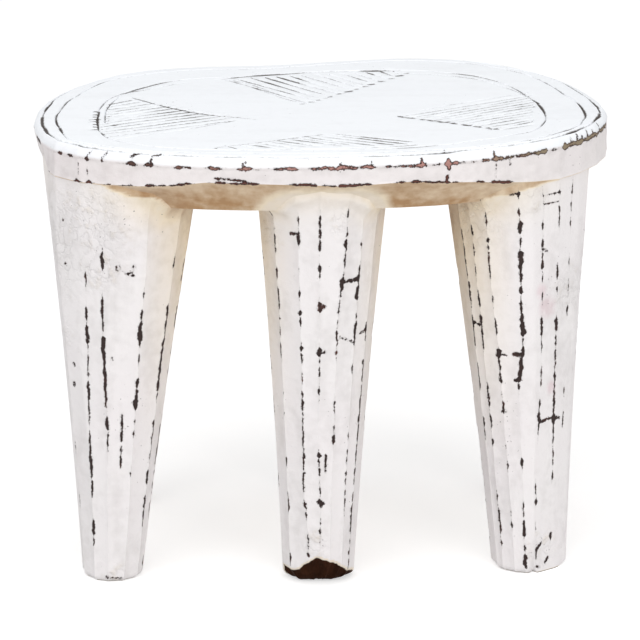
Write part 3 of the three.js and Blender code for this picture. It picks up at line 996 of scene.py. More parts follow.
# %% The rim's wear that the photograph shows
# Worn stretches of each arris as (facet number from, to, width in mm).
UPPER_WEAR = [
    (26.2, 27, 1.8), (28, 28.05, 1), (28.15, 28.35, 2.2), (28.6, 28.8, 2), (29, 29.03, 1),
    (29.22, 29.38, 3.5), (29.75, 29.87, 1.8), (30.38, 30.42, 1), (30.6, 30.9, 3), (31.2, 31.5, 2.5),
    (32.1, 32.35, 2), (32.35, 32.6, 1), (33.05, 33.5, 1.8), (33.9, 34.4, 2), (34.08, 34.24, 3.4),
    (34.53, 34.58, 1), (34.97, 35.7, 2), (36.05, 36.8, 1.8), (36.8, 37.5, 2.2), (36.95, 37.15, 3),
    (37.5, 37.97, 2.2), (37.77, 37.93, 3), (38.25, 38.5, 1.2), (38.5, 39.55, 1.4),
    (39.28, 39.46, 4), (39.7, 39.95, 0.9), (40, 40.5, 1.8), (40.05, 40.29, 5), (40.55, 40.7, 1.2),
    (40.85, 41, 0.9), (41.2, 41.5, 1.8), (41.5, 41.95, 2.2), (41.58, 41.76, 4), (41.95, 42.3, 1.5),
    (42.3, 42.9, 2), (42.9, 43.5, 2.6), (43.65, 43.85, 1), (44.05, 44.45, 2.6),
    (44.1, 44.32, 5), (44.4, 45.2, 2.2), (44.7, 45.1, 4), (45.1, 46.2, 2.4), (45.3, 45.7, 3.6),
    (46.1, 47.2, 2.4), (46.3, 46.8, 3),
]
LOWER_WEAR = [
    (28.85, 29.05, 3.4), (29.25, 29.45, 3.6), (29.5, 29.58, 1.2),
    (29.95, 30.08, 1.4), (30.45, 30.55, 1.2), (30.6, 30.85, 0.9), (31.2, 31.5, 2),
    (31.5, 31.85, 1.1), (31.95, 32.15, 1.2), (32.15, 32.6, 1.8), (33.25, 33.6, 1.8),
    (33.7, 34.55, 1.8), (34.1, 34.3, 2.5), (35.47, 36.3, 1.8), (36.35, 36.85, 0.8),
    (36.9, 37.9, 2), (37.27, 37.45, 3), (38.55, 38.85, 1.2), (39.05, 39.4, 2.2), (39.4, 40.25, 1.5),
    (40.08, 40.18, 4), (40.25, 40.5, 1), (41, 41.3, 1.5), (41.5, 42.2, 2.4), (41.6, 41.7, 4),
]

# Single chips: (facet number, height above the upper arris) from and to, and width.
RIM_MARKS = [
    ((29.3, 0), (29.42, 6), 0.9), ((29, -4), (29, -12), 0.2), ((29.3, -6), (29.31, -12), 0.15),
    ((29.8, 0), (29.95, 6), 0.8), ((30.75, 5.5), (30.95, 8), 1.9), ((31.3, 0), (31.44, 8), 1.3),
    ((31.44, 7.4), (31.62, 8), 1.5), ((40.17, 3), (40.19, -4), 2.2), ((40.13, 9), (40.13, 12), 1.6),
    ((40.13, -9), (40.13, -15), 2.6), ((41.67, -3), (41.67, -13), 0.35), ((42.15, 0), (42.15, -6), 1),
    ((44.5, 0), (44.53, 5), 1), ((44.8, 0), (44.86, 5.5), 1.2), ((45.05, 0), (45.08, 4), 1.1),
    ((45.4, 0), (45.46, 6), 1.1), ((45.7, 0), (45.76, 4), 1), ((46.25, 0), (46.32, 6), 1),
    ((43, 10.5), (43.08, 12), 1.5), ((34.2, 4), (34.2, 5), 0.8),
    ((33.3, -7), (34.15, -8.5), 1.3), ((41.62, 0), (41.62, 5), 1.2), ((37.85, 0), (37.9, 4), 1),
    ((39.37, 0), (39.35, 4.5), 1.6), ((36.9, 0), (36.98, 3.5), 1.2), ((34.15, 0), (34.1, 3.5), 1.4),
]
rim_chips = [((a * facet_length, b), (c * facet_length, d), w) for (a, b), (c, d), w in RIM_MARKS]
print(len(rim_chips), "single chips on the rim")


# %% The rest of the rim's wear
def random_runs(seed, first, last, gap, length, width):
    """Worn runs for an arris that the photograph doesn't show, from a fixed seed: thin and thick
    runs that join up in places, with gaps of very different lengths between them."""
    draw = random.Random(seed)
    runs = []
    at = first
    while True:
        if draw.random() < 0.6:
            at += gap * min(draw.expovariate(1), 3)
        stop = at + length * (0.15 + min(draw.expovariate(1), 2.5))
        if stop > last:
            return runs
        runs.append((at, stop, width * draw.choice([0.6, 0.7, 0.9, 1.2, 1.8])))
        at = stop


# (seed, facet number from, to, gap, length, width)
UPPER_RANDOM = [(61, 47.4, 48, 0.2, 0.3, 1.4), (62, 0, 26, 0.35, 0.35, 1.6)]
LOWER_RANDOM = [(63, 47.4, 48, 0.4, 0.3, 1.3), (64, 0, 28, 0.4, 0.35, 1.5)]


def rim_runs(given, wanted_random):
    """The given and the random runs of an arris, with their ends in millimetres round the rim."""
    runs = list(given)
    for wanted in wanted_random:
        runs += random_runs(*wanted)
    return [(a * facet_length, b * facet_length, w + CHIP_ALLOWANCE) for a, b, w in runs]


upper_runs = rim_runs(UPPER_WEAR, UPPER_RANDOM)
lower_runs = rim_runs(LOWER_WEAR, LOWER_RANDOM)
print(len(upper_runs) + len(lower_runs), "worn runs on the rim")


# %% The six legs' sizes
# The underside gets less painted shade and yellowing beside the legs, so their places are needed
# before its rings. Sizes are in millimetres, the foot's place is the splay away from the leg's own,
# and the arrises' bearings are in degrees from straight ahead, towards the right.
LEGS = {
    "leg_front_left": {
        "place": (-139.469, -74.181), "splay": (-9, -15), "top": (104, 96), "foot": (42, 44),
        "arrises": [-36, -15, 22, 53, 74, 98, 126, 155, 184, 213, 240, 265, 292],
    },
    "leg_front_centre": {
        "place": (-2.469, -84.181), "splay": (-3, -14), "top": (90, 98), "foot": (50, 52),
        "arrises": [-50, -23, -3, 18, 38, 57, 84, 112, 140, 170, 200, 228, 256, 283],
    },
    "leg_front_right": {
        "place": (133.531, -62.181), "splay": (10, -17), "top": (99, 92), "foot": (52, 50),
        "arrises": [-60, -47, -28, -5, 18, 41, 59, 86, 115, 145, 174, 203, 232, 264],
    },
    "leg_back_left": {
        "place": (-127.469, 65.819), "splay": (-15, 4), "top": (88, 86), "foot": (42, 42),
        "arrises": [-28, 0, 29, 57, 84, 113, 140, 167, 195, 223, 250, 276, 304],
    },
    "leg_back_centre": {
        "place": (-1.469, 83.819), "splay": (0, 10), "top": (86, 92), "foot": (46, 48),
        "arrises": [-36, -8, 20, 49, 77, 104, 131, 157, 183, 210, 238, 266, 295],
    },
    "leg_back_right": {
        "place": (134.531, 69.819), "splay": (12, 8), "top": (88, 88), "foot": (44, 44),
        "arrises": [-31, -5, 23, 50, 79, 106, 134, 160, 187, 216, 243, 270, 300],
    },
}

# %% The rings of the seat's side
# The shoulder's rings as (how far inside the rim, height), then the shares of the way down the
# band, in along the undercut and in over the belly.
SHOULDER = [(3.1, 311.2), (2.2, 310.3), (1.4, 309.1), (0.75, 307.7), (0.3, 306.4), (0.08, 305.6)]
BAND_SHARES = [0.015, 0.04, 0.08, 0.14, 0.22, 0.32, 0.44, 0.56, 0.68, 0.78, 0.86, 0.92, 0.96, 0.985]
UNDERCUT_SHARES = [0, 0.02, 0.05, 0.1, 0.18, 0.28, 0.4, 0.55, 0.7, 0.85, 1]
BELLY_SHARES = [0.94, 0.87, 0.79, 0.7, 0.6, 0.5, 0.4, 0.3, 0.2, 0.1]
# The band starts this far below the upper arris and inside the rim, and is this hollow between
# its arrises, apart from what an adze stroke adds to a facet, at most.
BAND_DROP = 0.2
BAND_INSET = 0.15
BAND_HOLLOW = 0.25
STROKE_DEPTH = 0.35
# The undercut starts this far inside the rim, and soon lies this much further in.
UNDERCUT_INSET = 0.25
UNDERCUT_BOW = 0.5
# So far from an arris that none of its wear reaches there.
OUT_OF_REACH = 30

column_low = round_rim(lower_z, column_facet)
stroke_draw = np.random.default_rng(8)
stroke_depth = stroke_draw.uniform(0, STROKE_DEPTH, RIM_FACETS)
within = column_facet - np.floor(column_facet)
flat_dip = np.minimum(1, 7 * within * (1 - within)) * stroke_depth[column_facet.astype(int)]
column_along = column_facet * facet_length

# How far the band leans in at its foot round the left end, clear of the legs.
band_lean = np.interp(column_facet, [22, 24, 26.3, 27.6], [0, 5, 5, 0])

# Each ring: how far inside the rim, its height, how far it lies above the upper arris and above
# the lower one, as the surface goes, and how sheltered it is, which gives it painted shade and
# yellowing. Below an arris is negative.
rings = []
for inset, z in SHOULDER:
    rings.append((np.full(COLUMNS, inset), z, np.hypot(z - UPPER_Z, inset), OUT_OF_REACH, 0))
for share in BAND_SHARES:
    z = UPPER_Z - BAND_DROP + (column_low - UPPER_Z + BAND_DROP) * share
    bow = min(1, 12 * share * (1 - share))
    inset = BAND_INSET + bow * (BAND_HOLLOW + flat_dip) + band_lean * share**1.5
    rings.append((inset, z, z - UPPER_Z, z - column_low, 0))
for share in UNDERCUT_SHARES:
    z = column_low + (BELLY_Z - column_low) * share
    inset = UNDERCUT_INSET + (UNDERCUT_RUN - UNDERCUT_INSET) * share
    inset += UNDERCUT_BOW * min(1, 6 * share)
    below = -np.hypot(inset, z - column_low)
    # The undercut is among the most sheltered places: tan, partly old paint and partly painted shade
    # under the band.
    rings.append((inset + band_lean * (1 - share), z, -OUT_OF_REACH, below, 0.8 + 0.2 * share))
print(len(rings), "rings down to the belly's edge")


# %% Wear and shelter on the rings
# How deep the wood is dented under a chip, and how far outside the chip the dent begins.
CHIP_DEPTH = 0.45
CHIP_MARGIN = 0.3
# How uneven the hewn sides and the belly are.
SIDE_UNEVEN = 0.12
BELLY_UNEVEN = 0.25
# The shape of the patch round a leg's top with less painted shade and yellowing, in half sizes of
# the top: the power of its outline, how far out it ends, how wide it fades, and how much less it
# gets.
ROUND_PATCH = (2, 1.33, 0.33, 0.2)
SQUARE_PATCH = (4, 1.15, 0.13, 0.6)


def beside_a_leg(points):
    """How much less painted shade and yellowing the underside gets beside the legs' tops. Round a
    middle leg the patch is nearly square, and it stops where the leg does."""
    less_smoke_and_shade = np.zeros(len(points))
    for name, leg in LEGS.items():
        power, ends_at, fade, most = SQUARE_PATCH if "centre" in name else ROUND_PATCH
        off = np.abs(points[:, :2] - leg["place"]) / (np.array(leg["top"]) / 2)
        reach = np.sum(off**power, axis=1) ** (1 / power)
        less_smoke_and_shade = np.maximum(less_smoke_and_shade, np.clip((ends_at - reach) / fade, 0, 1) * most)
    return less_smoke_and_shade


side_xyz = []
side_wear = []
side_smoke_and_shade = []
for inset, z, upper, lower, shelter in rings:
    xy = column_xy - column_out * inset[:, None]
    points = np.column_stack([xy, np.broadcast_to(z, COLUMNS)])
    upper = np.broadcast_to(upper, COLUMNS)
    lower = np.broadcast_to(lower, COLUMNS)
    places = np.stack([column_along, upper], axis=1)
    wear = worn_marks(places, rim_chips)
    wear = np.maximum(wear, worn_runs(column_along, upper, upper_runs))
    wear = np.maximum(wear, worn_runs(column_along, lower, lower_runs))
    dip = CHIP_DEPTH * np.clip(wear + CHIP_MARGIN, 0, 1)
    dip += SIDE_UNEVEN * (1 + ripple(points, 9, 21))
    points[:, :2] -= column_out * dip[:, None]
    side_xyz.append(points)
    side_wear.append(wear)
    # Less painted shade and yellowing beside the legs.
    side_smoke_and_shade.append(shelter * (1 - beside_a_leg(points)))
belly_edge = side_xyz[-1].copy()
for share in BELLY_SHARES:
    points = belly_edge.copy()
    points[:, :2] *= share
    points[:, 2] = BELLY_Z + BELLY_UNEVEN * ripple(points[:, :2], 45, 22) * (1 - share) ** 0.3
    side_xyz.append(points)
    side_wear.append(np.full(COLUMNS, UNWORN))
    side_smoke_and_shade.append(np.full(COLUMNS, 1.0))
print(len(side_xyz), "rings of", COLUMNS, "points")


# %% A finished piece
def finished_piece(name, points, faces, given, material, sharp_degrees):
    """A mesh object at the origin, in metres, with its paint and the six values that the paint
    reads at each point. A value that isn't given is 0 all over."""
    mesh = bpy.data.meshes.new(name)
    mesh.from_pydata((np.asarray(points) * MM).tolist(), [], faces)
    for key in PAINT_VALUES:
        values = given.get(key, np.zeros(len(points)))
        layer = mesh.attributes.new(key, "FLOAT", "POINT")
        layer.data.foreach_set("value", np.asarray(values, np.float32))
    mesh.materials.append(material)
    mesh.shade_smooth()
    mesh.set_sharp_from_angle(angle=math.radians(sharp_degrees))
    piece = bpy.data.objects.new(name, mesh)
    bpy.context.scene.collection.objects.link(piece)
    return piece


# %% Join sheet and sides into one closed seat
# How far the sheet's edge lies above the upper arris, as the surface goes.
SHOULDER_RISE = 7.5
# The band's left end is stained a little pink.
left_stain = np.interp(column_facet, [26, 27.5, 30, 33], [0, 0.1, 0.1, 0])

sheet_count = len(sheet_xy)
sheet_inset, sheet_facet = rim_inset(sheet_xy)
sheet_across = sheet_inset - SHEET_INSET + SHOULDER_RISE
sheet_wear = worn_marks(np.stack([sheet_facet * facet_length, sheet_across], axis=1), rim_chips)
all_points = np.vstack([np.column_stack([sheet_xy, sheet_z]), *side_xyz, [[0, 0, BELLY_Z]]])
faces = [tuple(face) for face in sheet_faces]
ring_index = [edge_of_sheet]
for r in range(len(side_xyz)):
    ring_index.append([sheet_count + r * COLUMNS + c for c in range(COLUMNS)])
for above, below in zip(ring_index, ring_index[1:]):
    for c in range(COLUMNS):
        n = (c + 1) % COLUMNS
        faces.append((above[c], below[c], below[n], above[n]))
bottom = len(all_points) - 1
for c in range(COLUMNS):
    faces.append((ring_index[-1][c], bottom, ring_index[-1][(c + 1) % COLUMNS]))
side_count = len(all_points) - sheet_count
seat = finished_piece(
    "seat_carved",
    all_points,
    faces,
    {
        "wear": np.concatenate([sheet_wear, *side_wear, [UNWORN]]),
        "groove": np.concatenate([sheet_dark, np.zeros(side_count)]),
        "shelter": np.concatenate([np.zeros(sheet_count), *side_smoke_and_shade, [1.0]]),
        "stain": np.concatenate([np.zeros(sheet_count), np.tile(left_stain, len(side_xyz)), [0.0]]),
    },
    seat_paint,
    sharp_degrees=35,
)
print("seat:", len(seat.data.vertices), "points,", len(seat.data.polygons), "faces")

# %% [markdown]
# ## The legs
# Each leg is a tapering shaft hewn in long flats, about thirteen of them, which narrow towards
# the foot. That is a rule with a few numbers in it, so a Geometry Nodes tree shapes all six from
# one kind of sleeve: its points only know which two arrises they lie between, how far across the
# flat, and how far up. The tree's inputs are the leg's own sizes.

# %% The leg tree's inputs
leg_tree, leg_in, leg_out = new_tree(
    "hewn_leg",
    [
        ("Top centre", VECTOR),
        ("Foot offset", VECTOR),
        ("Top size", VECTOR),
        ("Foot size", VECTOR),
        ("Height", FLOAT),
        ("Waist", FLOAT),
        ("Hollow", FLOAT),
        ("Stroke step", FLOAT),
        ("Arris wander", FLOAT),
        ("Seed", FLOAT),
    ],
)


def leg_input(label, axis=None):
    """One of the tree's inputs, or one axis of it."""
    socket = leg_in.outputs[label]
    if axis is not None:
        socket = add_node(leg_tree, "ShaderNodeSeparateXYZ", {0: socket}).outputs[axis]
    return Field(leg_tree, socket)


def stored(name):
    """A number that the sleeve's points carry."""
    kind = "GeometryNodeInputNamedAttribute"
    node = add_node(leg_tree, kind, {"Name": name}, data_type="FLOAT")
    return Field(leg_tree, node.outputs["Attribute"])


def combined(x, y, z):
    inputs = {0: x.socket, 1: y.socket, 2: z.socket}
    return add_node(leg_tree, "ShaderNodeCombineXYZ", inputs).outputs[0]


# %% Where an arris stands at each height
# Every flat reads its own part of the noise: how far apart two flats read it, and how many
# features it has to a millimetre of height.
WANDER_NOISE = (3.7, 0.022)

rise = stored("rise")
share = stored("share")
seed = leg_input("Seed")
height_here = rise * leg_input("Height")
waist = (rise * (rise * -1 + 1) * 4).math("MAXIMUM", 0) * leg_input("Waist")
half_width = rise.mix(leg_input("Foot size", 0), leg_input("Top size", 0)) * 0.5 - waist
half_depth = rise.mix(leg_input("Foot size", 1), leg_input("Top size", 1)) * 0.5 - waist
down = rise * -1 + 1
centre_x = leg_input("Foot offset", 0) * down + leg_input("Top centre", 0)
centre_y = leg_input("Foot offset", 1) * down + leg_input("Top centre", 1)


def arris_place(end):
    """Where the arris at one end of this point's flat stands at this height."""
    apart, to_a_mm = WANDER_NOISE
    noise_place = combined(stored("number_" + end) * apart, height_here * to_a_mm, seed)
    wander = noise_at(leg_tree, noise_place)
    angle = stored("bearing_" + end) + wander * leg_input("Arris wander")
    return (
        half_width * angle.math("SINE") + centre_x,
        centre_y - half_depth * angle.math("COSINE"),
    )


# %% The flat between two arrises
STROKE_NOISE = (5.3, 0.03)
DENT_NOISE = (9, 0.07)
# The strokes down a flat: how many to a millimetre, how far each flat's are shifted against the
# last one's, how uneven they are, and how far they slant.
STROKES_PER_MM = 0.0145
STROKE_SHIFT = 0.37
STROKE_UNEVEN = 1.4
STROKE_SLANT = 0.3
DENT_DEPTH = 0.5

from_x, from_y = arris_place("from")
to_x, to_y = arris_place("to")
run_x = to_x - from_x
run_y = to_y - from_y
run_length = (run_x * run_x + run_y * run_y).math("SQRT")
flat_number = stored("number_from")
apart, to_a_mm = STROKE_NOISE
uneven = noise_at(leg_tree, combined(flat_number * apart, height_here * to_a_mm, seed + 20))
stroke = height_here * STROKES_PER_MM + flat_number * STROKE_SHIFT + uneven * STROKE_UNEVEN
stroke = (stroke + share * STROKE_SLANT).math("FRACT")
# Across a flat this is 0 at the arrises and a quarter in the middle.
across = share * (share * -1 + 1)
edge_fade = (across * 9).math("MINIMUM", 1)
inward = across * 4 * leg_input("Hollow") + stroke * edge_fade * leg_input("Stroke step")
apart, to_a_mm = DENT_NOISE
dent_place = combined(share * 2 + flat_number * apart, height_here * to_a_mm, seed)
inward = inward + edge_fade * noise_at(leg_tree, dent_place) * DENT_DEPTH
shaft_x = run_x * share + from_x - run_y * inward * run_length.math("POWER", -1)
shaft_y = run_y * share + from_y + run_x * inward * run_length.math("POWER", -1)
new_places = combined(shaft_x, shaft_y, height_here)
inputs = {"Geometry": leg_in.outputs["Geometry"], "Position": new_places}
shaped = add_node(leg_tree, "GeometryNodeSetPosition", inputs)
finish_tree(leg_tree, shaped.outputs[0], leg_paint, leg_out)
print("leg tree:", len(leg_tree.nodes), "nodes")

# %% [markdown]
# ## Wear on the legs
# On the real stool each arris is a broken dark line. For the three front legs the runs are given
# arris by arris, as heights in millimetres, because their rhythm is what the eye knows the stool by.
# The arrises that face away get runs from a seeded generator of the same rhythm.

# %% Worn runs, as (height from, to, width)
LEG_WEAR = {
    "leg_front_left": {
        0: [(224, 220, 2.5), (220, 214, 0.8), (199, 189, 2), (187, 173, 2.5), (173, 169, 0.8),
            (165, 157, 0.6), (156, 149, 1.5), (146, 130, 1.8), (130, 117, 1.2), (109, 92, 1.5),
            (92, 75, 2.5), (75, 62, 1.5), (45.5, 33.5, 2.5), (32, 26, 1.5)],
        1: [(241, 228, 2.4), (236, 231, 3.5), (208, 184, 1.5), (203, 197, 2), (180.5, 158.7, 3.3),
            (158.7, 128, 2), (122.8, 113, 2.5), (110, 106.6, 2), (106, 101, 1), (98, 97, 0.8)],
        2: [(212.6, 209.5, 1.2), (198.7, 191, 1.5), (191, 173, 2), (185, 176, 3.8),
            (167, 160.5, 0.8), (149, 142.6, 2.5), (142.6, 126, 2.5), (134, 128, 4.2),
            (119, 118, 1), (111, 108, 1.5), (81, 78.5, 1)],
        3: [(233, 225, 1), (198.5, 188, 2.2), (188, 177.6, 1.2), (176, 136, 2), (136, 131, 0.8),
            (115.6, 109, 1.8), (107, 98, 1), (96, 95, 1.3), (92, 86, 0.7), (79.8, 69.4, 2),
            (61, 51, 2.2), (51, 38.6, 1.2)],
        4: [(226, 211.5, 1.2), (195, 178, 1.5), (164.7, 161, 0.7), (149.5, 144, 0.6),
            (117, 114, 0.7), (109.6, 99.4, 1.2), (99.4, 79.7, 1.5), (76, 72, 1), (68.3, 63, 1.5),
            (61, 60, 1), (54, 43, 1.5), (14, 6.7, 1.5), (5, 0, 1.2)],
        11: [(246, 243, 1), (122, 120, 1)],
        12: [(98, 92, 0.7), (60, 52, 0.6)],
    },
    "leg_front_centre": {
        0: [(268, 264.5, 0.7), (257, 256, 1.2), (251.6, 245, 1.5), (243, 239.5, 1.6),
            (228, 221.5, 1.8), (214, 198, 1.2), (193, 191, 2), (185, 180, 0.8), (174, 160, 0.7),
            (138.5, 137.5, 0.6), (124.5, 123.5, 0.6), (92, 85, 1.5), (65.6, 53, 1.2),
            (21, 13.5, 1.5)],
        1: [(268, 264, 1), (259, 256, 1), (256, 248, 2.2), (229.5, 228.5, 0.6), (216, 211, 1.5),
            (201.5, 196, 2.6), (196, 191, 1.4), (175.7, 171, 2.2), (171, 163, 1.2),
            (155.5, 154.5, 1.2), (152, 150, 0.8), (142, 138, 1.2), (138, 129, 1.8),
            (127, 116, 0.6), (116, 98.5, 0.9), (98.5, 92, 1.8), (92, 86, 0.9), (84, 74.5, 1.4),
            (74.5, 69, 0.8), (62, 56, 2), (54.6, 49.4, 1.2), (37, 33, 1.8), (33, 26.5, 1),
            (24.5, 21, 2)],
        2: [(270, 266, 1.2), (266, 261, 1.4), (260, 253, 2), (252.5, 244, 1.6), (234, 228.5, 2),
            (228, 225, 0.7), (208, 200, 3.2), (174.5, 167.8, 3.6), (166, 163.5, 1.3),
            (160, 153, 1), (145, 141.5, 2.2), (140, 139, 1.8), (98.5, 94.5, 3), (94.5, 88, 1),
            (88, 81.7, 1.2), (76, 75, 1.5), (73, 68, 1), (64.4, 57.6, 2.5), (47, 45, 0.8),
            (42, 38.5, 1.5), (36, 34, 0.7)],
        3: [(273, 266.7, 0.8), (257, 253, 1.5), (251.7, 244, 2.8), (243, 231.6, 1.2),
            (229, 225, 0.6), (224.5, 213.7, 2.8), (213, 209.6, 1.4), (208, 197.8, 0.8),
            (192.5, 191.5, 1), (189.5, 188.5, 1), (186.5, 175.6, 1.2), (172.5, 168, 1.8),
            (136, 133, 2), (133, 128, 1), (117.6, 113, 0.8), (111.5, 104, 2)],
        4: [(247.6, 244.7, 2), (231, 225, 1), (225, 218, 2.5), (218, 206.8, 2.8),
            (205.5, 204.5, 1), (197, 191, 0.8), (191, 186.5, 2.4), (186.5, 173.6, 1.6),
            (159.6, 154.5, 1.4), (109.8, 108.2, 1.8), (98, 94.4, 1.2), (93.5, 92.5, 1.6),
            (92, 89, 1), (82.4, 78, 1.6), (77.7, 72, 1.1), (70, 64, 1), (62, 51.6, 0.8)],
        5: [(187.5, 180, 2.4), (180, 173.6, 1.2), (161, 156, 2.6), (156, 145, 1.7),
            (143, 135, 0.6), (135, 121.7, 1.6), (121.7, 115.5, 2.6), (115.5, 100.4, 1.6),
            (100.4, 82.8, 1.1), (82.8, 77, 1.6), (77, 70, 0.7), (64, 57, 1.2), (57, 49.6, 2.2),
            (49.6, 34.5, 1.8), (31, 27, 1), (23, 18.4, 1.6), (17, 7, 0.8)],
        6: [(184.5, 170, 1.4), (154.5, 150, 1.6), (126, 108, 0.7), (120, 113, 1.5)],
        13: [(233, 229, 0.8), (225, 217, 0.9), (188.5, 187.5, 0.9), (160, 150, 0.8),
             (130, 118, 0.7), (78, 66, 0.8)],
    },
    "leg_front_right": {
        0: [(246.4, 238, 1), (238, 225, 0.9), (225, 220, 1.6), (220, 211, 0.6), (209, 203, 2),
            (203, 190, 1.6), (185, 174.6, 1.6), (174.6, 161.4, 1.5), (148, 145, 1.5),
            (145, 132, 1.2), (111, 101.5, 1.6), (101.5, 94.7, 0.9)],
        1: [(249, 243, 1), (236, 230, 0.9), (222, 213, 0.5), (204, 192.5, 1.3), (187, 178, 2.2),
            (178, 161.4, 1.4), (138, 125, 1.6), (125, 120, 1.6), (115, 104, 1.3), (97.5, 92, 1.6),
            (57, 52.6, 1), (46.4, 26.5, 1.5), (22.8, 19.7, 1.5)],
        2: [(274.5, 273.5, 1.6), (261, 253, 1.2), (244.5, 240.5, 2.4), (239, 235, 1.4),
            (235, 216, 1.1), (203, 197, 1.4), (185, 175, 1), (164.6, 156.3, 3.6),
            (156.3, 148, 1.5), (146.5, 139, 1.8), (130.5, 129.5, 1), (126, 117.3, 1.6),
            (94, 93, 1.3), (81.5, 78, 1.6), (45.5, 44.5, 0.6), (38, 34, 1.8)],
        3: [(279, 275, 2), (266, 261, 2), (257.5, 248, 3), (246, 241, 2), (236.4, 221.5, 3.4),
            (221, 213, 1.8), (210.6, 205, 2.6), (203, 202, 1), (200, 191.5, 1.6),
            (191.5, 174.5, 3), (174.5, 166.7, 1.2), (166.7, 159, 2), (159, 145, 3),
            (145, 141, 3.6), (141, 135.5, 1.2), (85.3, 79.6, 1.6), (51.8, 47, 1.3),
            (45.5, 42.3, 1), (40.2, 27.2, 2), (21.5, 15.8, 1), (14.7, 3.8, 2.4)],
        4: [(274.5, 273.5, 2), (268, 267, 1.6), (254.5, 248.4, 1.5), (242.7, 237, 2.2),
            (236, 234, 1), (232.4, 228.3, 1), (228.3, 220.6, 2.4), (219, 213, 0.9),
            (204.6, 197.4, 1), (187, 180.4, 2.6), (180.4, 172.6, 2.2), (172, 163, 0.9),
            (149, 146, 1.8), (146, 137, 1.2), (127, 118.6, 1), (118.6, 110, 2.8),
            (110, 99, 0.8), (65.3, 57, 1.2), (55.3, 50.6, 2.4), (36.6, 35.4, 1.6),
            (34, 33, 1.4), (19, 16, 2), (16, 10, 1.2)],
        5: [(274.6, 272, 1.5), (263, 258, 1.8), (258, 250, 1), (224, 212.4, 1.4),
            (205.7, 202.7, 1.4), (184, 173.3, 2.6), (171.8, 163.5, 1.1), (160.4, 147, 1.3),
            (144, 133.4, 1.7), (133.4, 127, 1.6), (127, 114, 1.8), (114, 106.4, 3.6),
            (106.4, 99, 1.2), (98, 93, 1), (88, 77.3, 1), (73, 65.3, 1.3), (27.7, 22, 2.6)],
        6: [(277, 269, 0.9), (263.6, 258, 1), (251, 246.8, 1.8), (224.4, 219.3, 0.9),
            (206, 199, 0.6), (189.8, 183, 1.5), (131, 126.5, 1), (113.9, 103.5, 1.3)],
        7: [(220, 181, 0.9), (180, 153, 0.8)],
    },
}
print(sum(len(runs) for leg in LEG_WEAR.values() for runs in leg.values()), "runs by hand")

# %% [markdown]
# ## From sleeve to leg
# The tree's shaft still has to be fitted: trimmed to stay behind the rim, flared where it meets
# the belly, given a rounded sole, and closed at both ends. That depends on the seat above it, so
# it is done on the numbers of the mesh. The shaft runs on up into the seat, out of sight.

# %% The sleeve that all legs start from
FLAT_SHARES = [0, 0.03, 0.07, 0.12, 0.19, 0.27, 0.36, 0.45, 0.55, 0.64, 0.73, 0.81, 0.88, 0.93, 0.97]
LEG_TOP_Z = 298
ROW_STEP = 1.6
SOLE_ROWS = [0, 0.8, 1.7]
LEG_ROWS = np.concatenate([SOLE_ROWS, np.arange(3, LEG_TOP_Z, ROW_STEP), [LEG_TOP_Z]])

# Some arrises turn on their way down: by how many degrees at which heights.
BENDS = {
    "leg_front_left": {1: [(0, 5), (110, 4), (130, 2), (170, -1), (200, -3)]},
    "leg_front_centre": {
        1: [(40, 6), (70, 0)],
        2: [(60, 4), (110, 0)],
        3: [(190, -2), (225, 2), (260, 4)],
        5: [(0, -3), (120, 0)],
    },
    "leg_front_right": {
        2: [(20, 3), (130, 0), (250, -3)],
        3: [(140, -3), (165, 3)],
        4: [(70, -7), (140, 2), (260, 4)],
    },
}


def sleeve(name, arrises):
    """An open tube of unplaced points that carry their arrises, share across and rise."""
    count = len(arrises)
    columns = count * len(FLAT_SHARES)
    rows = len(LEG_ROWS)
    mesh = bpy.data.meshes.new("sleeve")
    faces = []
    for low in range(0, (rows - 1) * columns, columns):
        high = low + columns
        for c in range(columns):
            n = (c + 1) % columns
            faces.append((low + c, low + n, high + n, high + c))
    mesh.from_pydata([(0, 0, 0)] * (rows * columns), [], faces)
    number = np.repeat(np.arange(count), len(FLAT_SHARES))
    following = (number + 1) % count
    bearings = np.radians(np.array(arrises, float))
    values = {
        "number_from": number,
        "number_to": following,
        "bearing_from": bearings[number],
        "bearing_to": bearings[following] + 2 * np.pi * (number == count - 1),
        "share": np.tile(FLAT_SHARES, count),
    }
    stored_values = {key: np.tile(value, rows) for key, value in values.items()}
    stored_values["rise"] = np.repeat(LEG_ROWS / BELLY_Z, columns)
    row_z = np.repeat(LEG_ROWS, columns)
    for arris, bend in BENDS.get(name, {}).items():
        turned = np.radians(np.interp(row_z, *zip(*bend)))
        for end in ("from", "to"):
            stored_values["bearing_" + end] += turned * (stored_values["number_" + end] == arris)
    for key, value in stored_values.items():
        layer = mesh.attributes.new(key, "FLOAT", "POINT")
        layer.data.foreach_set("value", value.astype(np.float32))
    return mesh, stored_values, columns, rows


# %% Fitting a shaft under the seat
SOLE_CHAMFER = 3
# The flare at a leg's top: over what height, and how far out where the seat's underside is flat,
# which it is fully this far in from the rim.
FLARE_HEIGHT = 9
FLARE_REACH = 5
FLARE_FROM = 1
FLARE_FULL = 15
# No leg comes nearer to the rim than this.
RIM_SETBACK = 1.3


def contact_height(xy):
    """The height of the seat's underside above each place."""
    inset, facet = rim_inset(xy)
    low = round_rim(lower_z, facet % RIM_FACETS)
    share = np.clip(inset / UNDERCUT_RUN, 0, 1)
    return low + (BELLY_Z - low) * share, inset


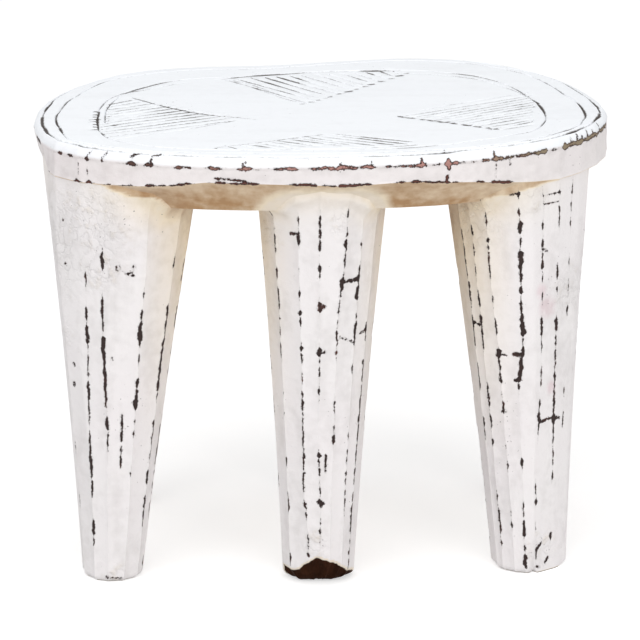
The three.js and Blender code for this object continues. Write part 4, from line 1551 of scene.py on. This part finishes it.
def fit_leg(points, axis_xy):
    """Moves a shaft's points so that it has a sole, a flare and stays behind the rim."""
    away = points[:, :2] - axis_xy
    reach = np.linalg.norm(away, axis=1)[:, None]
    away /= reach
    z = points[:, 2]
    rounding = SOLE_CHAMFER * np.clip(1 - z / SOLE_CHAMFER, 0, 1) ** 1.6
    contact, inset = contact_height(points[:, :2])
    near_belly = np.clip((z - contact + FLARE_HEIGHT) / FLARE_HEIGHT, 0, 1)
    under_flat = np.clip((inset - FLARE_FROM) / (FLARE_FULL - FLARE_FROM), 0, 1)
    points[:, :2] += away * (FLARE_REACH * near_belly**2 * under_flat - rounding)[:, None]
    inset, facet = rim_inset(points[:, :2])
    short = np.maximum(RIM_SETBACK - inset, 0)
    points[:, :2] -= round_rim(outward, facet % RIM_FACETS) * short[:, None]
    return points


# %% Chips, flakes and stains on the legs
# Single chips: (bearing, height) from and to, and width.
LEG_MARKS = {
    "leg_front_left": [
        ((6, 124), (6.5, 104), 1.3), ((6.5, 100), (7, 84), 0.8), ((-2, 231), (-2, 228), 2.2),
        ((-9, 224.5), (-9, 223.5), 1.5), ((5, 226), (12, 223.5), 1.4), ((12, 231), (12, 228), 1.3),
        ((-2, 262), (-2, 259), 1.2), ((-62, 258), (-62, 257), 1.4), ((-62, 227), (-60, 226), 1.2),
        ((-58, 156), (-57, 155), 1.8), ((-60, 142), (-60, 140), 2), ((-15, 4), (15, 2.5), 0.9),
        ((-6, 165), (-6, 163), 1),
    ],
    "leg_front_centre": [
        ((19, 221), (37, 221.5), 2.2), ((20, 181.5), (28, 179), 0.8), ((30, 178.5), (37, 176), 0.8),
        ((-23, 255.5), (-32, 255), 1.6), ((7, 95), (7, 84), 0.8), ((7, 96), (8, 95), 1.6),
        ((-3, 62), (5, 61), 2), ((-3, 206), (3, 204), 1.8), ((-3, 172), (3, 171), 1.6),
        ((47, 181), (57, 182), 1),
    ],
    "leg_front_right": [
        ((-60, 180), (-47, 178.5), 1.3), ((-28, 160.5), (-20, 160), 0.9),
        ((-12, 161), (-3, 161), 2.4), ((24, 273), (42, 273.5), 0.35),
        ((22, 267), (40, 267), 0.15), ((20, 111), (27, 111), 2),
        ((30, 112), (41, 111), 1.4), ((41, 112), (52, 110), 1.3), ((-30, 118), (-24, 119), 0.9),
        ((11, 17), (21, 21), 1.6), ((11, 5), (18, 4), 1.5), ((-5, 143), (-12, 142), 1.6),
        ((30, 6), (36, 9), 1.6), ((-3, 277), (-9, 276), 0.9), ((21, 236), (28, 233), 0.8),
    ],
}

# Where the old paint has lifted in flakes, and where it is stained pink: (bearing, height, reach).
FLAKY = {
    "leg_front_left": [(-70, 240, 48), (-30, 258, 42), (-80, 175, 20), (-20, 228, 24), (5, 5, 12)],
    "leg_front_centre": [(-8, 30, 16), (-60, 250, 20), (15, 265, 14)],
    "leg_front_right": [(-45, 258, 30), (15, 270, 16), (20, 15, 20), (62, 200, 24)],
}
STAINS = {"leg_front_right": [(36, 134, 6), (28, 193, 10), (20, 205, 7)]}
print("chips by hand on", len(LEG_MARKS), "legs")


# %% A leg's surface laid flat
def leg_radius(spec, height):
    """About how far a leg's surface is from its axis, for laying it flat."""
    foot, top = np.mean(spec["foot"]) / 2, np.mean(spec["top"]) / 2
    return foot + (top - foot) * height / BELLY_Z


def unrolled(spec, values, points):
    """The leg's surface laid flat: how far round it each point lies from straight ahead, and its
    height, in millimetres."""
    angle = values["bearing_from"] * (1 - values["share"]) + values["bearing_to"] * values["share"]
    angle = (angle + np.pi) % (2 * np.pi) - np.pi
    return np.stack([angle * leg_radius(spec, points[:, 2]), points[:, 2]], axis=1)


def spots(spec, flat_places, wanted):
    """1 in the middle of each spot, falling to 0 at its reach."""
    field = np.zeros(len(flat_places))
    for bearing, height, reach in wanted:
        middle = (math.radians(bearing) * leg_radius(spec, height), height)
        distance = np.linalg.norm(flat_places - middle, axis=1)
        field = np.maximum(field, np.clip(1.6 - 1.6 * distance / reach, 0, 1))
    return field


# %% Chips and flakes on the hidden legs
BAR_COUNT = 9
FLAKY_COUNT = 8
FLAKY_REACH = 35


def random_bars(seed, arrises):
    """A few chips that join neighbouring arrises, on the legs that the photograph doesn't show."""
    draw = random.Random(seed)
    bars = []
    for _ in range(BAR_COUNT):
        n = draw.randrange(len(arrises) - 1)
        first, last = [(bearing + 180) % 360 - 180 for bearing in arrises[n : n + 2]]
        height = draw.uniform(20, 255)
        if first < last:
            stop = (last, height + draw.uniform(-2, 2))
            bars.append(((first, height), stop, draw.uniform(0.5, 1.8)))
    return bars


def random_flakes(seed):
    """Flaky patches in the form of FLAKY, anywhere on a leg."""
    draw = random.Random(seed)
    places = []
    for _ in range(FLAKY_COUNT):
        places.append((draw.uniform(-180, 180), draw.uniform(0, 270), FLAKY_REACH))
    return places


# %% The wear field of a leg
def leg_wear(name, spec, values, points, seed):
    """The wear field of a leg: each point looks at the two arrises of its flat."""
    count = len(spec["arrises"])
    columns = count * len(FLAT_SHARES)
    grid = points.reshape(-1, columns, 3)
    starts = grid[:, :: len(FLAT_SHARES)]
    widths = np.linalg.norm(starts - np.roll(starts, -1, axis=1), axis=2)
    number = values["number_from"].astype(int)
    row = np.repeat(np.arange(len(LEG_ROWS)), columns)
    width = widths[row, number]
    wear = np.full(len(points), UNWORN)
    for arris in range(count):
        runs = LEG_WEAR.get(name, {}).get(arris)
        if runs is None:
            runs = random_runs(seed * 40 + arris, 4, 268, 20, 9, 1.5)
        for own, across in (
            (number == arris, values["share"] * width),
            ((number + 1) % count == arris, (values["share"] - 1) * width),
        ):
            wear[own] = np.maximum(wear[own], worn_runs(points[own, 2], across[own], runs))
    marks = []
    for first, last, width in LEG_MARKS.get(name) or random_bars(seed, spec["arrises"]):
        reach = leg_radius(spec, first[1])
        ends = [(math.radians(bearing) * reach, height) for bearing, height in (first, last)]
        marks.append((*ends, width + CHIP_ALLOWANCE))
    return np.maximum(wear, worn_marks(unrolled(spec, values, points), marks))


# %% [markdown]
# ## The two damaged feet
# The front right foot has a short cleft that opens at the sole. The front of the middle one has
# split off, and a torn edge of paint arches over the bare brown wood. Both could be cut with a
# Boolean, but that would break the even rows of points that carry the wear, so the points are
# pressed inwards instead.

# %% The cleft and the split
# The cleft: how far round from straight ahead, its half width, how high it reaches and how deep.
CLEFT_PLACE = 2
CLEFT_HALF_WIDTH = 3.5
CLEFT_HEIGHT = 12
CLEFT_DEPTH = 4
# The torn upper edge of the split: (distance right of the foot's middle, height).
SPLIT_ARCH = [
    (-26, 10), (-23, 9.5), (-16, 10), (-12, 13), (-8, 17), (-2, 21), (5, 19), (13, 15),
    (17.5, 11), (23, 6), (26, 3),
]
# The bare wood lies this deep under the torn edge, and goes in by this much more per millimetre
# on its way to the sole.
SPLIT_STEP = 1.2
SPLIT_SLOPE = 0.55
# How uneven the torn edge and the splintered wood are.
TORN_UNEVEN = 0.6
SPLINTER_UNEVEN = 0.5


def press_cleft(points, away, flat_places):
    """Presses the cleft into the points, deepest in its middle and at the sole."""
    off_cleft = np.abs(flat_places[:, 0] - CLEFT_PLACE)
    cleft = np.clip(1 - off_cleft / CLEFT_HALF_WIDTH, 0, 1)
    cleft *= np.clip(1 - points[:, 2] / CLEFT_HEIGHT, 0, 1)
    points[:, :2] -= away * (CLEFT_DEPTH * cleft)[:, None]


def press_split(points, away, foot_x):
    """Presses the foot's front in below the torn edge, and returns how bare each point is."""
    under = np.interp(points[:, 0] - foot_x, *zip(*SPLIT_ARCH)) - points[:, 2]
    under += TORN_UNEVEN * ripple(points[:, [0, 2]], 7, 77)
    in_front = np.clip(0.35 - away[:, 1] * 1.5, 0, 1)
    bare = np.clip((under + 1.2) * 0.4, 0, 1) * (in_front > 0.3)
    splinter = SPLINTER_UNEVEN * ripple(points[:, [0, 2]] * [1, 0.2], 3, 78)
    recess = bare * in_front * (SPLIT_STEP + SPLIT_SLOPE * np.maximum(under, 0) + splinter)
    points[:, :2] -= away * recess[:, None]
    return bare


# %% [markdown]
# ## Yellowing and painted shade
# The paint is cream and tan on the faces that look inwards and close under the seat. That is
# partly old paint, smoked and yellowed where hands and cleaning didn't reach, and partly painted
# shade, in place of the shade and warm bounced light there. It could be read from how closed in
# each place is, with an ambient occlusion node, but that shades evenly, and the real tan ends in a
# line that wanders. So each point's place and the way it faces say how sheltered it is.

# %% How much painted shade and yellowing a leg's paint gets
# How much painted shade and yellowing a leg's upper half gets, where that isn't the usual.
USUAL_SMOKE_AND_SHADE = 0.12
SMOKE_AND_SHADE_BY_LEG = {"leg_front_centre": 0.05, "leg_front_right": 0.22}
# How much more it gets where it faces fully inwards, and the most that it has anywhere.
INWARD_YELLOW_AND_SHADE = 0.68
MOST_SMOKE_AND_SHADE = 0.84
# The same just under the seat, where a face looks sideways, and how much more facing inwards.
SIDEWAYS_AT_BELLY = 0.57
INWARD_AT_BELLY = 0.55
# A middle leg has neighbours on both sides. Its right side is this many times as sheltered as its
# left one. Just under the seat it has this much painted shade and yellowing in front, and this much
# more at its corners.
RIGHT_SIDE_SHARE = 0.65
MIDDLE_AT_BELLY = 0.32
CORNER_AT_BELLY = 0.25
# Close under the seat is within the first of these. The painted shade and yellowing starts at the
# second height and grows over the third.
BELLY_REACH = 38
YELLOW_AND_SHADE_FROM = 70
YELLOW_AND_SHADE_RISE = 200
# How far the painted shade and smoked paint of the underside runs down over a leg's top:
# (bearing, millimetres), how strong it is, and over how many millimetres it ends.
SMOKE_AND_SHADE_LINE = {
    "leg_front_left": [(-19, 0), (-10, 3.5), (3, 5.3), (14, 4), (24, 2.5), (36, 0)],
    "leg_front_right": [(-35, 0), (-15, 4), (-5, 6), (5, 5), (18, 3), (41, 0)],
}
NO_SMOKE_AND_SHADE = [(0, 0)]
SMOKE_AND_SHADE_STRENGTH = 0.85
SMOKE_AND_SHADE_FADE = 1.5


def leg_smoke_and_shade(name, spec, points, away, flat_places):
    """0 where the paint gets none, 1 where it has the most yellowing and painted shade."""
    facing_in = away @ (-np.array(spec["place"]) / np.linalg.norm(spec["place"]))
    contact, _ = contact_height(points[:, :2])
    below_seat = contact - points[:, 2]
    near_belly = np.clip(1 - below_seat / BELLY_REACH, 0, 1)
    if "centre" in name:
        sideways = np.abs(away[:, 0]) ** 3 * np.where(away[:, 0] > 0, RIGHT_SIDE_SHARE, 1)
        facing_in = np.maximum(facing_in, sideways - 0.15)
        corner = np.clip(np.abs(away[:, 0]) * 3 - 1.4, 0, 1)
        at_belly = near_belly**4 * MIDDLE_AT_BELLY
        at_belly += near_belly**2.5 * corner * CORNER_AT_BELLY
    else:
        at_belly = SIDEWAYS_AT_BELLY + INWARD_AT_BELLY * facing_in
        at_belly = near_belly**1.6 * np.clip(at_belly, 0, MOST_SMOKE_AND_SHADE)
    # Yellowing and painted shade together: strongest facing inwards, high up and close under the
    # seat.
    height_share = np.clip((points[:, 2] - YELLOW_AND_SHADE_FROM) / YELLOW_AND_SHADE_RISE, 0, 1)
    yellow_and_shade = SMOKE_AND_SHADE_BY_LEG.get(name, USUAL_SMOKE_AND_SHADE) + INWARD_YELLOW_AND_SHADE * facing_in
    yellow_and_shade = np.clip(yellow_and_shade, 0, MOST_SMOKE_AND_SHADE)
    shelter = np.clip(np.maximum(height_share**1.6 * yellow_and_shade, at_belly), 0, 1)
    # The tan wedge just under the seat's edge: painted shade and smoke.
    bearing = np.degrees(flat_places[:, 0] / leg_radius(spec, points[:, 2]))
    smoke_and_shade_down = np.interp(bearing, *zip(*SMOKE_AND_SHADE_LINE.get(name, NO_SMOKE_AND_SHADE)))
    smoke_and_shade_here = np.clip((smoke_and_shade_down - below_seat) / SMOKE_AND_SHADE_FADE, 0, 1)
    return np.maximum(shelter, SMOKE_AND_SHADE_STRENGTH * smoke_and_shade_here * (smoke_and_shade_down > 0.1))


# %% Build the six legs
# In millimetres, but for the arrises' wander in radians.
WAIST = 1.5
HOLLOW = 0.35
STROKE_STEP = 0.22
ARRIS_WANDER = 0.07
FLAKE_DEPTH = 0.3


def close_ring(ring, centre, upward):
    """Triangles from a ring to its centre, facing up or down."""
    pairs = zip(ring, ring[1:] + ring[:1])
    return [(a, b, centre) if upward else (b, a, centre) for a, b in pairs]


legs = {}
for seed, (name, spec) in enumerate(LEGS.items(), 1):
    base, values, columns, rows = sleeve(name, spec["arrises"])
    settings = {
        "Top centre": plan_vector(spec["place"]),
        "Foot offset": plan_vector(spec["splay"]),
        "Top size": plan_vector(spec["top"]),
        "Foot size": plan_vector(spec["foot"]),
        "Height": float(BELLY_Z),
        "Waist": WAIST,
        "Hollow": HOLLOW,
        "Stroke step": STROKE_STEP,
        "Arris wander": ARRIS_WANDER,
        "Seed": float(seed),
    }
    shaft = run_tree(leg_tree, base, settings)
    points = mesh_points(shaft)
    wear = leg_wear(name, spec, values, points, seed)
    flat_places = unrolled(spec, values, points)
    flaky = spots(spec, flat_places, FLAKY.get(name, random_flakes(seed)))
    stain = spots(spec, flat_places, STAINS.get(name, []))
    axis = np.array(spec["place"]) + np.outer(1 - points[:, 2] / BELLY_Z, spec["splay"])
    away = points[:, :2] - axis
    away /= np.linalg.norm(away, axis=1)[:, None]
    points[:, :2] -= away * (CHIP_DEPTH * np.clip(wear + CHIP_MARGIN, 0, 1))[:, None]
    flakes = flaky * (1 + ripple(points, 6, 60 + seed)) / 2
    points[:, :2] -= away * (FLAKE_DEPTH * flakes)[:, None]
    points = fit_leg(points, axis)
    bare = np.zeros(len(points))
    if name == "leg_front_right":
        press_cleft(points, away, flat_places)
    if name == "leg_front_centre":
        bare = press_split(points, away, spec["place"][0] + spec["splay"][0])
    # How much painted shade and yellowing the paint gets.
    shelter = leg_smoke_and_shade(name, spec, points, away, flat_places)

    faces = [tuple(p.vertices) for p in shaft.polygons]
    sole_ring = list(range(columns))
    top_ring = list(range((rows - 1) * columns, rows * columns))
    ends = np.array([points[sole_ring].mean(0), points[top_ring].mean(0)])
    faces += close_ring(sole_ring, len(points), upward=False)
    faces += close_ring(top_ring, len(points) + 1, upward=True)
    bare[sole_ring] = 1
    legs[name] = finished_piece(
        name + "_hewn",
        np.vstack([points, ends]),
        faces,
        {
            "wear": np.append(wear, [UNWORN, UNWORN]),
            "shelter": np.append(shelter, [0, 1]),
            "bare": np.append(bare, [1, 0]),
            "flaky": np.append(flaky, [0, 0]),
            "stain": np.append(stain, [0, 0]),
        },
        leg_paint,
        sharp_degrees=32,
    )
    print(name, len(legs[name].data.polygons), "faces")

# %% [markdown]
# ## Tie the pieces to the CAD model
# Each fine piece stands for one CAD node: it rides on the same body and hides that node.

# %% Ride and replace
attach(seat, "root")
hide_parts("seat")
for name, leg in legs.items():
    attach(leg, "root")
    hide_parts(name)
